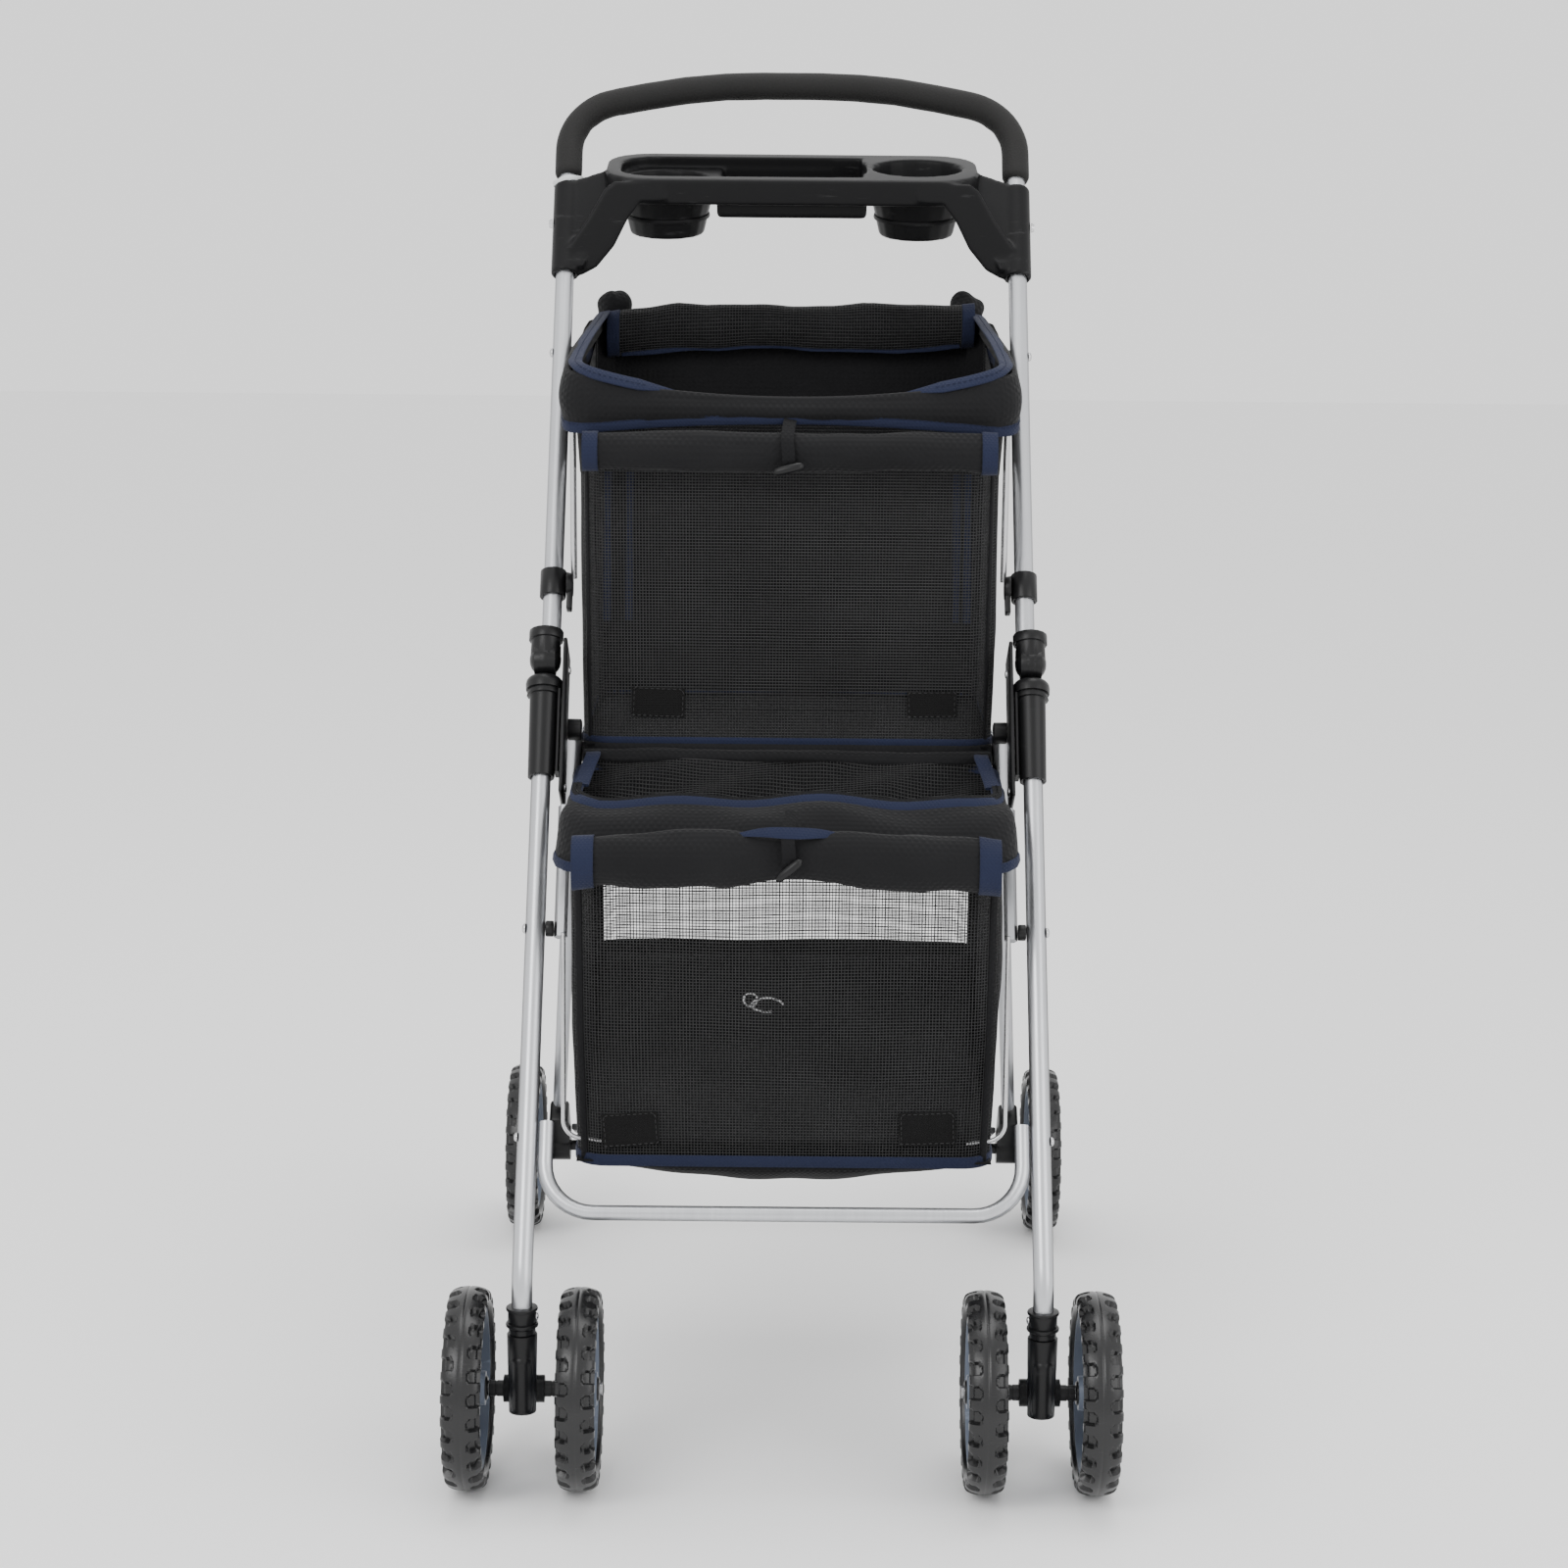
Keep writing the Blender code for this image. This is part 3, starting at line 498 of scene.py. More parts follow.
def repeatOn(tree, points, **inputs):
    spread = addNode(tree, "GeometryNodeInstanceOnPoints", {"Points": points, **inputs})
    return addNode(tree, "GeometryNodeRealizeInstances", {0: spread.outputs[0]}).outputs[0]


def useTree(piece, tree, values):
    modifier = piece.modifiers.new(tree.name, "NODES")
    modifier.node_group = tree
    for item in tree.interface.items_tree:
        if item.item_type == "SOCKET" and item.in_out == "INPUT" and item.name in values:
            modifier[item.identifier] = values[item.name]
    applyAll(piece)


def makeNetTree():
    # threads both ways over a sheet, laid by its UV
    tree, enter, leave = newTree(
        "threadNet",
        [
            ("Threads Across", "NodeSocketInt", 100),
            ("Threads Down", "NodeSocketInt", 100),
            ("Thread Radius", "NodeSocketFloat", 0.0004),
            ("Steps", "NodeSocketInt", 24),
        ],
    )
    uv = addNode(tree, "GeometryNodeInputNamedAttribute", {"Name": "UVMap"}, data_type="FLOAT_VECTOR")
    position = tree.nodes.new("GeometryNodeInputPosition").outputs[0]
    ring = {"Resolution": 3, "Radius": enter["Thread Radius"]}
    profile = addNode(tree, "GeometryNodeCurvePrimitiveCircle", ring)
    joined = tree.nodes.new("GeometryNodeJoinGeometry")
    for label, axis in (("Threads Across", 0), ("Threads Down", 1)):
        lines = []
        for count, direction in ((enter["Steps"], 1 - axis), (enter[label], axis)):
            gap = mathNode(tree, "DIVIDE", 0.998, mathNode(tree, "SUBTRACT", count, 1))
            offset = addNode(tree, "ShaderNodeCombineXYZ", {direction: gap}).outputs[0]
            line = addNode(tree, "GeometryNodeMeshLine", {"Count": count, "Offset": offset})
            lines.append(line.outputs[0])
        real = repeatOn(tree, lines[1], Instance=lines[0])
        # the lines stay just inside the edges of the UV square
        shift = addNode(tree, "ShaderNodeVectorMath", {0: position, 1: (0.001, 0.001, 0)})
        source = {
            0: enter["Geometry"],
            "Value": position,
            "Source UV Map": uv.outputs["Attribute"],
            "Sample UV": shift.outputs[0],
        }
        sample = addNode(tree, "GeometryNodeSampleUVSurface", source, data_type="FLOAT_VECTOR")
        laid = {"Geometry": real, "Position": sample.outputs[0]}
        move = addNode(tree, "GeometryNodeSetPosition", laid)
        asCurve = addNode(tree, "GeometryNodeMeshToCurve", {0: move.outputs[0]})
        tube = {"Curve": asCurve.outputs[0], "Profile Curve": profile.outputs[0], "Fill Caps": True}
        tree.links.new(addNode(tree, "GeometryNodeCurveToMesh", tube).outputs[0], joined.inputs[0])
    return paintAll(tree, joined.outputs[0], enter, leave)


def makeRingTree():
    # repeats a sector round the X axis
    tree, enter, leave = newTree(
        "ringRepeat", [("Count", "NodeSocketInt", 22), ("Centre", "NodeSocketVector", None)]
    )
    line = addNode(tree, "GeometryNodeMeshLine", {"Offset": (0, 0, 0), "Count": enter["Count"]})
    index = tree.nodes.new("GeometryNodeInputIndex").outputs[0]
    turn = mathNode(tree, "MULTIPLY", mathNode(tree, "DIVIDE", index, enter["Count"]), 2 * math.pi)
    rotation = addNode(tree, "ShaderNodeCombineXYZ", {0: turn}).outputs[0]
    real = repeatOn(tree, line.outputs[0], Instance=enter["Geometry"], Rotation=rotation)
    weld = addNode(tree, "GeometryNodeMergeByDistance", {"Distance": 0.00002, "Geometry": real})
    place = {"Geometry": weld.outputs[0], "Translation": enter["Centre"]}
    move = addNode(tree, "GeometryNodeTransform", place)
    return paintAll(tree, move.outputs[0], enter, leave)


def makeStitchTree():
    # short thread dashes along a line
    tree, enter, leave = newTree(
        "stitchRun",
        [
            ("Pitch", "NodeSocketFloat", 0.004),
            ("Dash", "NodeSocketFloat", 0.0026),
            ("Thread", "NodeSocketFloat", 0.00035),
        ],
    )
    asCurve = addNode(tree, "GeometryNodeMeshToCurve", {0: enter["Geometry"]})
    evenly = tree.nodes.new("GeometryNodeResampleCurve")
    evenly.mode = "LENGTH"
    tree.links.new(asCurve.outputs[0], evenly.inputs["Curve"])
    tree.links.new(enter["Pitch"], evenly.inputs["Length"])
    tangent = tree.nodes.new("GeometryNodeInputTangent").outputs[0]
    align = addNode(tree, "FunctionNodeAlignEulerToVector", {"Vector": tangent}, axis="Z")
    shape = {"Vertices": 5, "Radius": enter["Thread"], "Depth": enter["Dash"]}
    dash = addNode(tree, "GeometryNodeMeshCylinder", shape).outputs[0]
    real = repeatOn(tree, evenly.outputs[0], Instance=dash, Rotation=align.outputs[0])
    return paintAll(tree, real, enter, leave)


netTree = makeNetTree()
ringTree = makeRingTree()
stitchTree = makeStitchTree()

netPitch = 0.0026
foldingPieces = []  # soft pieces, each given its own copy of its mesh at the end


def netPiece(name, place, size, folds, thread=0.00042, steps=24):
    # an open net over place(u, v), size metres wide and high
    bm = bmesh.new()
    gridSheet(bm, place, 24, 24)
    made = linkMesh(name, bm, netThread, fix=False)
    values = {
        "Threads Across": round(size[0] / netPitch),
        "Threads Down": round(size[1] / netPitch),
        "Thread Radius": thread,
        "Steps": steps,
        "Material": netThread,
    }
    useTree(made, netTree, values)
    if folds:
        foldingPieces.append(made)


def stitches(name, path, folds, material=navyTape, pitch=0.0045):
    bm = bmesh.new()
    verts = [bm.verts.new(p) for p in path]
    for a, b in zip(verts, verts[1:]):
        bm.edges.new((a, b))
    made = linkMesh(name, bm, material, fix=False)
    useTree(made, stitchTree, {"Pitch": pitch, "Material": material})
    if folds:
        foldingPieces.append(made)


def ringPoint(front, back, half, corner, s):
    # a rounded rectangle in plan; s runs 0 to 4, one unit a side, from the front left corner
    width = 2 * half
    depth = back - front
    side = int(s) % 4
    arc = math.pi * corner / 4
    run = (width, depth, width, depth)[side] - 2 * corner
    d = (s - int(s)) * (run + 2 * arc)
    if d < arc:
        a = math.pi / 4 - d / corner
        beside = corner - corner * math.sin(a)
        inward = corner - corner * math.cos(a)
    elif d > arc + run:
        a = (d - arc - run) / corner
        beside = corner + run + corner * math.sin(a)
        inward = corner - corner * math.cos(a)
    else:
        beside = corner + d - arc
        inward = 0.0
    if side == 0:
        return -half + beside, front + inward
    if side == 1:
        return half - inward, front + beside
    if side == 2:
        return half - beside, back - inward
    return -half + inward, back - beside


upperCabin = {
    "front": (-0.064, -0.056),  # at the floor and at the mouth
    "back": (0.180, 0.222),
    "half": (0.1665, 0.1700),
    "floor": 0.532,
    "mouthFront": 0.803,
    "mouthBack": 0.852,
    "corner": 0.022,
    "slack": 0.0025,
    "cloth": 0.0012,
    "floorCloth": 0.003,
    "floorSag": 0.004,
}
rim = {
    "front": -0.066,
    "back": 0.2300,
    "half": 0.1795,
    "corner": 0.022,
    "heights": ((-0.066, 0.8310), (0.030, 0.8490), (0.230, 0.8685)),
    "narrow": 0.065,  # share of the width lost from the front to the back
    "dip": 0.0165,
    "hem": (0.7850, 0.0095),
    "drop": 0.030,
    "roll": 0.0042,  # radius over the wire
    "cloth": 0.0016,
    "hemWidth": 0.0090,
    "mouthWidth": 0.0115,
    "mouthX": 0.1745,
    "knob": (0.013, (0.1560, 0.2300, 0.8720)),  # radius and place of the gathers at the back corners
}
outwards = ((0, -1), (1, 0), (0, 1), (-1, 0))


def rimHeight(x, y):
    low, middle, high = rim["heights"]
    pair = (low, middle) if y < middle[0] else (middle, high)
    z = lerp(pair[0][1], pair[1][1], (y - pair[0][0]) / (pair[1][0] - pair[0][0]))
    frontness = max(0.0, 1 - (y - rim["front"]) / 0.03)
    return z - rim["dip"] * frontness * max(0.0, 1 - (x / 0.155) ** 2) ** 0.7


def rimNarrow(y):
    return 1 - rim["narrow"] * min(1.0, max(0.0, (y + 0.03) / 0.26))


def upperWall(s, v):
    # v is 0 at the floor and 1 at the mouth
    cab = upperCabin
    front = lerp(*cab["front"], v)
    back = lerp(*cab["back"], v)
    half = lerp(*cab["half"], v)
    x, y = ringPoint(front, back, half, cab["corner"], s)
    mouth = lerp(cab["mouthFront"], cab["mouthBack"], (y - front) / (back - front))
    z = lerp(cab["floor"], mouth, v)
    loose = math.sin(math.pi * v) * math.sin(math.pi * (s % 1))
    drift = wave((x, y, z), 9, 3.0) * 0.006 + wave((x + z * 0.8, y, z * 0.4), 26, 8.0) * 0.002
    out = cab["slack"] * loose + drift * loose
    push = outwards[int(s) % 4]
    return Vector((x + push[0] * out, y + push[1] * out, z))


def wallPatch(wall, s0, s1, v0, v1):
    return lambda u, v: wall(lerp(s0, s1, u), lerp(v0, v1, v))


def awayFrom(p, y):
    # level direction out of a cabin whose middle is at y
    return Vector((p.x, p.y - y, 0)).normalized()


def seamLine(wall, height, out):
    # a closed line round a wall, moved out a little
    count = 180
    found = []
    for i in range(count + 1):
        p = wall(lerp(0.0, 3.98, i / count), height)
        found.append(p + awayFrom(p, 0.05) * out)
    return found


def tapeLine(name, path, width, thick, folds=False, material=navyTape, ups=None, closed=False):
    # binding folded over an edge
    if ups is None:
        ups = [awayFrom(p, 0.05) for p in path]
    made = swept(name, path, bandOutline(width, thick), ups, material, closed=closed)
    if folds:
        foldingPieces.append(made)


def buildUpperNets():
    cab = upperCabin
    walls = (("front", 0, 1, 0.34), ("right", 1, 2, 0.27), ("left", 3, lastPlace, 0.27))
    for label, s0, s1, width in walls:
        netPiece(f"upper_net_{label}", wallPatch(upperWall, s0, s1, 0.02, 0.99), (width, 0.28), True)
    around = wallPatch(upperWall, 1.88, 3.12, 0, 1)
    back = clothSheet("upper_back_cloth", around, 60, 30, cab["cloth"], folds=True)

    def facingPlace(s0, s1):
        def place(u, v):
            low = upperWall(lerp(s0, s1, u), 0.80)
            x = low.x + 0.006 * v * (1 if low.x > 0 else -1)
            return Vector((x, low.y, lerp(low.z, rimHeight(0.17, low.y) - 0.003, v)))

        return place

    for label, s0, s1 in (("right", 1.0, 2.04), ("left", 2.96, lastPlace)):
        place = facingPlace(s0, s1)
        facing = clothSheet(f"upper_facing_{label}", place, 44, 12, cab["cloth"], folds=True)

    def floorPlace(u, v):
        x = lerp(-cab["half"][0], cab["half"][0], u)
        y = lerp(cab["front"][0], cab["back"][0], v)
        sag = math.sin(math.pi * u) * math.sin(math.pi * v) * cab["floorSag"]
        return Vector((x, y, cab["floor"] - sag + wave((x, y, 0), 30) * 0.0008))

    floor = clothSheet("upper_floor_cloth", floorPlace, 30, 24, cab["floorCloth"], folds=True)
    return back


def rimPath(count):
    found = []
    for i in range(count):
        x, y = ringPoint(rim["front"], rim["back"], rim["half"], rim["corner"], 4 * i / count)
        x *= rimNarrow(y)
        found.append(Vector((x, y, rimHeight(x, y))))
    return found


def buildUpperRim():
    count = 132
    outer = rimPath(count)

    def skirt(u, v):
        # from inside the mouth, over the wire and down to the hem
        i = u * count
        p = outer[int(i) % count].lerp(outer[(int(i) + 1) % count], i - int(i))
        inward = Vector((-p.x, 0.08 - p.y, 0)).normalized()
        frontness = min(1.0, max(0.0, 1 - (p.y - rim["front"]) / 0.10))
        wrinkle = wave((p.x, p.y, v * 0.05), 20, 6.0) * 0.0035
        wrinkle += wave((p.x * 2, p.y, v * 0.1), 45, 2.0) * 0.0010
        roll = rim["roll"]
        if v < 0.3:
            a = math.pi * (1 - v / 0.3)
            top = p + Vector((0, 0, roll * math.sin(a) - roll))
            tuck = Vector((0, 0, -0.010 * max(0, 1 - v / 0.12)))
            return top - inward * roll * math.cos(a) * 0.8 + tuck
        t = (v - 0.3) / 0.7
        hemZ = rim["hem"][0] + rim["hem"][1] * max(0.0, 1 - (p.x / 0.17) ** 2)
        end = lerp(p.z - rim["drop"], hemZ, frontness)
        belly = 0.0040 * math.sin(math.pi * min(t * 1.15, 1))
        place = p - inward * (roll * 0.8 + belly + wrinkle * t)
        place.z = lerp(p.z - roll, end, t)
        return place

    band = clothSheet("upper_rim_band", skirt, count, 16, rim["cloth"], bandCloth, True, True)
    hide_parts("upper_rim_wire")
    hem = [skirt(i / count, 1.0) for i in range(count)]
    ups = [awayFrom(p, 0.08) for p in hem]
    rise = Vector((0, 0, 0.0030))
    path = [p + u * 0.0004 + rise for p, u in zip(hem, ups)]
    tapeLine("upper_hem_tape", path, rim["hemWidth"], 0.0030, True, ups=ups, closed=True)
    stitches("upper_hem_stitch", [p + u * 0.0019 + rise for p, u in zip(path, ups)], True)
    knots = [
        (0.092, -0.0655, 0.8188),
        (0.125, -0.0670, 0.8245),
        (0.158, -0.0650, 0.8325),
        (0.1715, -0.0500, 0.8385),
    ]
    for y in (-0.0100, 0.0600, 0.1400, 0.2150):
        x = rim["mouthX"] * rimNarrow(y)
        knots.append((x, y, rimHeight(x, y) + 0.0012))
    radius, middle = rim["knob"]
    for label, sign in sides:
        path = curveThrough([(sign * x, y, z) for x, y, z in knots])
        ups = [
            Vector((-sign * 0.1, -0.75, 0.75)) if p.y < -0.03 else Vector((sign * 0.25, -0.2, 1))
            for p in path
        ]
        outline = bandOutline(rim["mouthWidth"], 0.0024)
        thin = lambda t: min(1.0, 0.12 + t * 7)
        tape = swept(f"upper_mouth_tape_{label}", path, outline, ups, navyTape, taper=thin)
        foldingPieces.append(tape)
        edge = [p + Vector((0, -0.0016, 0.0012)) for p in path[6:-1]]
        stitches(f"upper_mouth_stitch_{label}", edge, True)
        bm = bmesh.new()
        bmesh.ops.create_icosphere(bm, subdivisions=4, radius=radius)
        for vert in bm.verts:
            c = vert.co
            c *= 1 + 0.35 * wave(c, 70, 3.0 + sign)
            c.x *= 1.15
            c.z *= 1.25
            vert.co = c + Vector((sign * middle[0], middle[1], middle[2]))
        foldingPieces.append(linkMesh(f"upper_corner_knob_{label}", bm, bandCloth, smooth=60))


rolls = {
    "upper_front_roll": {
        "centre": (0, -0.0830, 0.7725),
        "half": 0.1650,
        "radius": 0.0158,
        "bandWidth": 0.0125,
        "seed": 1.0,
        "sag": 0.0008,
    },
    "upper_back_roll": {
        "centre": (0, 0.2140, 0.8545),
        "half": 0.1610,
        "radius": 0.0190,
        "bandWidth": 0.0110,
        "seed": 4.0,
        "sag": -0.0020,
        "tilt": 0.022,
        "cloth": blackCloth,
    },
    "lower_back_roll": {
        "centre": (0, -0.0700, 0.5240),
        "half": 0.1652,
        "radius": 0.0060,
        "bandWidth": 0.0,
        "seed": 2.5,
        "sag": 0.0005,
        "flat": 1.6,
    },
    "lower_front_roll": {
        "centre": (0, -0.2420, 0.4690),
        "half": 0.1640,
        "radius": 0.0215,
        "bandWidth": 0.0170,
        "seed": 7.0,
        "sag": -0.0060,
        "flat": 0.72,
        "turns": 0.6,
        "pinch": 0.22,
    },
}


def rollSkin(centre, half, radius, seed, sag, flat=0.8, turns=0.35, tilt=0.0, pinch=0.0):
    def skin(u, v):
        x = lerp(-half, half, u)
        a = 2 * math.pi * v
        ridge = 1 + 0.05 * math.sin(a * 2 + u * 9 + seed) + turns * 0.2 * math.sin(a + 0.8)
        lump = wave((x, math.cos(a) * 0.02, math.sin(a) * 0.02 + seed), 30, seed) * 0.12
        crease = -0.05 * math.exp(-((math.sin(a * 1.5 + u * 4 + seed) / 0.18) ** 2))
        tied = 1 - pinch * math.exp(-((x / 0.028) ** 2))
        r = radius * (ridge + lump + crease) * (1 - 0.05 * math.cos(4 * math.pi * u)) * tied
        drop = sag * (1 - (x / half) ** 2) + wave((x, 0, seed), 12, 2.0) * 0.003
        z = centre[2] + math.sin(a) * r - drop + tilt * x
        return Vector((x, centre[1] - math.cos(a) * r * flat, z))

    return skin


def buildRoll(name, folds=False):
    # a cover rolled up on itself, with bound ends
    roll = dict(rolls[name])
    cloth = roll.pop("cloth", bandCloth)
    bandWidth = roll.pop("bandWidth")
    skin = rollSkin(**roll)
    across = 90
    around = 32
    bm = bmesh.new()
    turns = range(around)
    rings = [[bm.verts.new(skin(i / across, j / around)) for j in turns] for i in range(across + 1)]
    joinRings(bm, rings, False)
    # each end winds in to a hollow
    for ring, end in ((rings[0], -1), (rings[-1], 1)):
        wound = [ring]
        middle = sum((v.co for v in ring), Vector()) / around
        for share, depth in ((0.8, 0.0), (0.62, -0.004), (0.45, -0.001), (0.25, -0.005)):
            dent = Vector((end * depth, 0, 0))
            wound.append([bm.verts.new(middle + (v.co - middle) * share + dent) for v in ring])
        joinRings(bm, wound, False)
        bm.faces.new(wound[-1])
    made = linkMesh(name, bm, cloth, smooth=50)
    pieces = [made]
    band = bandWidth / (2 * roll["half"])
    for label, start in (("left", 0.0), ("right", 1 - band)) if band else ():
        bm = bmesh.new()
        loops = []
        for i in range(9):
            loop = []
            for j in range(around):
                p = skin(lerp(start, start + band, i / 8), j / around)
                away = (p - Vector((p.x, roll["centre"][1], roll["centre"][2]))).normalized()
                loop.append(bm.verts.new(p + away * 0.0011))
            loops.append(loop)
        joinRings(bm, loops, False)
        tape = linkMesh(f"{name}_end_{label}", bm, navyTape, smooth=60)
        addModifier(tape, "SOLIDIFY", thickness=0.001, offset=0.0)
        pieces.append(applyAll(tape))
    if folds:
        foldingPieces.extend(pieces)
    return skin


def toggleLoop(name, place, tilt=0.25, folds=False):
    # a cloth loop over the roll with a small oblong toggle
    x, y, z = place
    path = curveThrough(
        [
            (x + 0.003, y + 0.020, z + 0.030),
            (x + 0.001, y + 0.004, z + 0.0235),
            (x, y - 0.009, z + 0.014),
            (x + 0.001, y - 0.0125, z),
            (x, y - 0.0095, z - 0.010),
        ]
    )
    loop = swept(name + "_loop", path, bandOutline(0.0105, 0.0016), (0, -1, 0.2), blackCloth)
    half = Vector((0.0125 * math.cos(tilt), 0, 0.0125 * math.sin(tilt)))
    middle = Vector((x + 0.001, y - 0.0150, z - 0.0085))
    path = []
    for k in range(17):
        bulge = Vector((0, -0.001 * math.sin(math.pi * k / 16), 0))
        path.append(middle + half * (k / 8 - 1) + bulge)
    roundEnds = lambda t: (1 - abs(2 * t - 1) ** 4) ** 0.5 * 0.85 + 0.15
    outline = roundOutline(0.0036, 14, 0.8)
    peg = swept(name + "_peg", path, outline, (0, -1, 0.3), blackPlastic, taper=roundEnds)
    if folds:
        foldingPieces.extend([loop, peg])


def buildUpperRolls():
    buildRoll("upper_front_roll", True)
    toggleLoop("upper_toggle", (-0.002, -0.0860, 0.7690), folds=True)
    skin = buildRoll("upper_back_roll", True)

    def overNet(u, v):
        u = lerp(0.035, 0.965, u)
        p = skin(u, lerp(-0.22, 0.30, v))
        middle = (skin(u, 0.0) + skin(u, 0.5)) / 2
        return p + (p - middle).normalized() * 0.0007

    netPiece("upper_back_roll_net", overNet, (0.31, 0.06), True, steps=60)
    low = [skin(lerp(0.04, 0.96, k / 50), 0.80) + Vector((0, -0.003, 0.001)) for k in range(51)]
    tapeLine("upper_back_roll_tape", low, 0.0055, 0.0018, True, ups=[Vector((0, -1, 0.1))] * 51)


hookPatches = {
    # middle across and up, width, height, turn
    "upper_patch_left": (-0.105, 0.567, 0.043, 0.024, -0.03),
    "upper_patch_right": (0.117, 0.567, 0.040, 0.021, 0.02),
    "lower_patch_left": (-0.1205, 0.2530, 0.044, 0.027, 0.08),
    "lower_patch_right": (0.1120, 0.2560, 0.044, 0.027, 0.03),
}


def upperFront(x, z):
    return upperWall(0.5 + x / 0.34, (z - 0.532) / 0.271).y


def lowerFront(x, z):
    return lowerWall(min(max(0.5 + x / 0.33, 0), 0.999), (z - 0.226) / 0.244).y


def buildPatch(name, folds, wallY):
    # one square of hook tape sewn to the net
    midX, midZ, width, height, turn = hookPatches[name]

    def place(u, v):
        a = (u - 0.5) * width
        b = (v - 0.5) * height
        x = midX + a * math.cos(turn) - b * math.sin(turn)
        z = midZ + a * math.sin(turn) + b * math.cos(turn)
        return Vector((x, wallY(x, z) - 0.0016 + wave((x, 0, z), 60) * 0.0006, z))

    clothSheet(name, place, 14, 14, 0.0014, hookTape, folds)
    edge = []
    inset = 0.08
    for u0, v0, u1, v1 in ((0, 0, 1, 0), (1, 0, 1, 1), (1, 1, 0, 1), (0, 1, 0, 0)):
        for i in range(8):
            u = lerp(lerp(u0, u1, i / 8), 0.5, inset)
            v = lerp(lerp(v0, v1, i / 8), 0.5, inset)
            edge.append(place(u, v) + Vector((0, -0.0010, 0)))
    edge.append(edge[0])
    stitches(name + "_stitch", edge, folds, netThread)


def cornerTapes(name, wall, start, reach, middleY, width, thick, folds):
    for label, s in cabinCorners:
        path = [wall(s, start + reach * i / 30) for i in range(31)]
        path = [p + awayFrom(p, middleY) * 0.001 for p in path]
        tapeLine(f"{name}_{label}", path, width, thick, folds, blackCloth)


def buildUpperTrim():
    buildPatch("upper_patch_left", True, upperFront)
    buildPatch("upper_patch_right", True, upperFront)
    seam = seamLine(upperWall, 0.012, 0.0012)
    tapeLine("upper_seam_bottom", seam, 0.0070, 0.0030, True, closed=True)
    cornerTapes("upper_corner", upperWall, 0.01, 0.97, 0.05, 0.005, 0.0026, True)
    # inner window tapes, seen faintly through the net
    inner = (("left_a", -0.1465, -0.045), ("left_b", -0.1290, -0.040))
    inner += (("right_a", 0.1440, -0.045), ("right_b", 0.1355, -0.040))
    for label, x, y in inner:
        path = curveThrough([(x, y, 0.752), (x * 1.004, y, 0.70), (x * 1.01, y + 0.004, 0.63)])
        facing = [Vector((0, -1, 0))] * len(path)
        tapeLine(f"upper_inner_tape_{label}", path, 0.006, 0.001, True, ups=facing)


skirt = {"top": 0.5335, "bottom": (0.5085, 0.494), "cloth": 0.0024, "belly": 0.0022}


def buildCabinSkirt():
    # a padded band closes the gap from the upper floor down to the lower cabin's cover
    cab = upperCabin
    front = cab["front"][0]

    def place(u, v):
        back = cab["back"][0] - 0.060
        x, y = ringPoint(front - 0.003, back, cab["half"][0] - 0.001, cab["corner"], 4 * u % 4)
        low = lerp(*skirt["bottom"], (y - front) / 0.18)
        out = skirt["belly"] * math.sin(math.pi * v) + wave((x, y, v * 0.02), 30, 2.0) * 0.0010
        push = Vector((x, y - 0.03, 0)).normalized()
        return Vector((x, y, lerp(skirt["top"], low, v))) + push * out

    band = clothSheet("cabin_skirt", place, 110, 8, skirt["cloth"], bandCloth, closed=True)


lowerCabin = {
    # height, front, back, half width
    "levels": (
        (0.226, -0.216, 0.094, 0.163),
        (0.330, -0.222, 0.098, 0.166),
        (0.420, -0.2215, 0.098, 0.167),
        (0.470, -0.221, 0.096, 0.168),
    ),
    "corner": 0.024,
    "slack": 0.006,
    "backCloth": 0.43,  # share of the back wall that is cloth
    "baseZ": 0.2265,
    "baseSag": 0.042,
    "sideCloth": 0.0012,
    "wallCloth": 0.0014,
    "baseCloth": 0.0018,
}


def lowerWall(s, v):
    levels = lowerCabin["levels"]
    z = lerp(levels[0][0], levels[-1][0], v)
    for low, high in zip(levels, levels[1:]):
        if z <= high[0] + 1e-9:
            break
    t = (z - low[0]) / (high[0] - low[0])
    front, back, half = (lerp(low[k], high[k], t) for k in (1, 2, 3))
    x, y = ringPoint(front, back, half, lowerCabin["corner"], s)
    loose = math.sin(math.pi * min(v, 1)) * math.sin(math.pi * (s % 1))
    crease = math.sin((x * 0.8 + z) * 38) * 0.0022
    crease += wave((x, y, z), 8, 5.0) * 0.008 + wave((x - z, y, z), 24, 1.0) * 0.003
    out = (lowerCabin["slack"] + crease) * loose
    push = outwards[int(s) % 4]
    return Vector((x + push[0] * out, y + push[1] * out, z))


def lowerInner(u, v):
    # the loose liner hangs from the back wall down to the front seam
    x = lerp(-0.158, 0.158, u)
    y = lerp(0.084, -0.196, v)
    z = lerp(0.322, 0.236, v ** 0.75) - 0.012 * math.sin(math.pi * v) * math.sin(math.pi * u)
    fold = wave((x, y, z), 12, 4.0) * 0.009
    fold += math.sin((x + y * 1.3) * 38) * 0.0024 * math.sin(math.pi * v)
    return Vector((x, y, z + fold * math.sin(math.pi * v) ** 0.5))


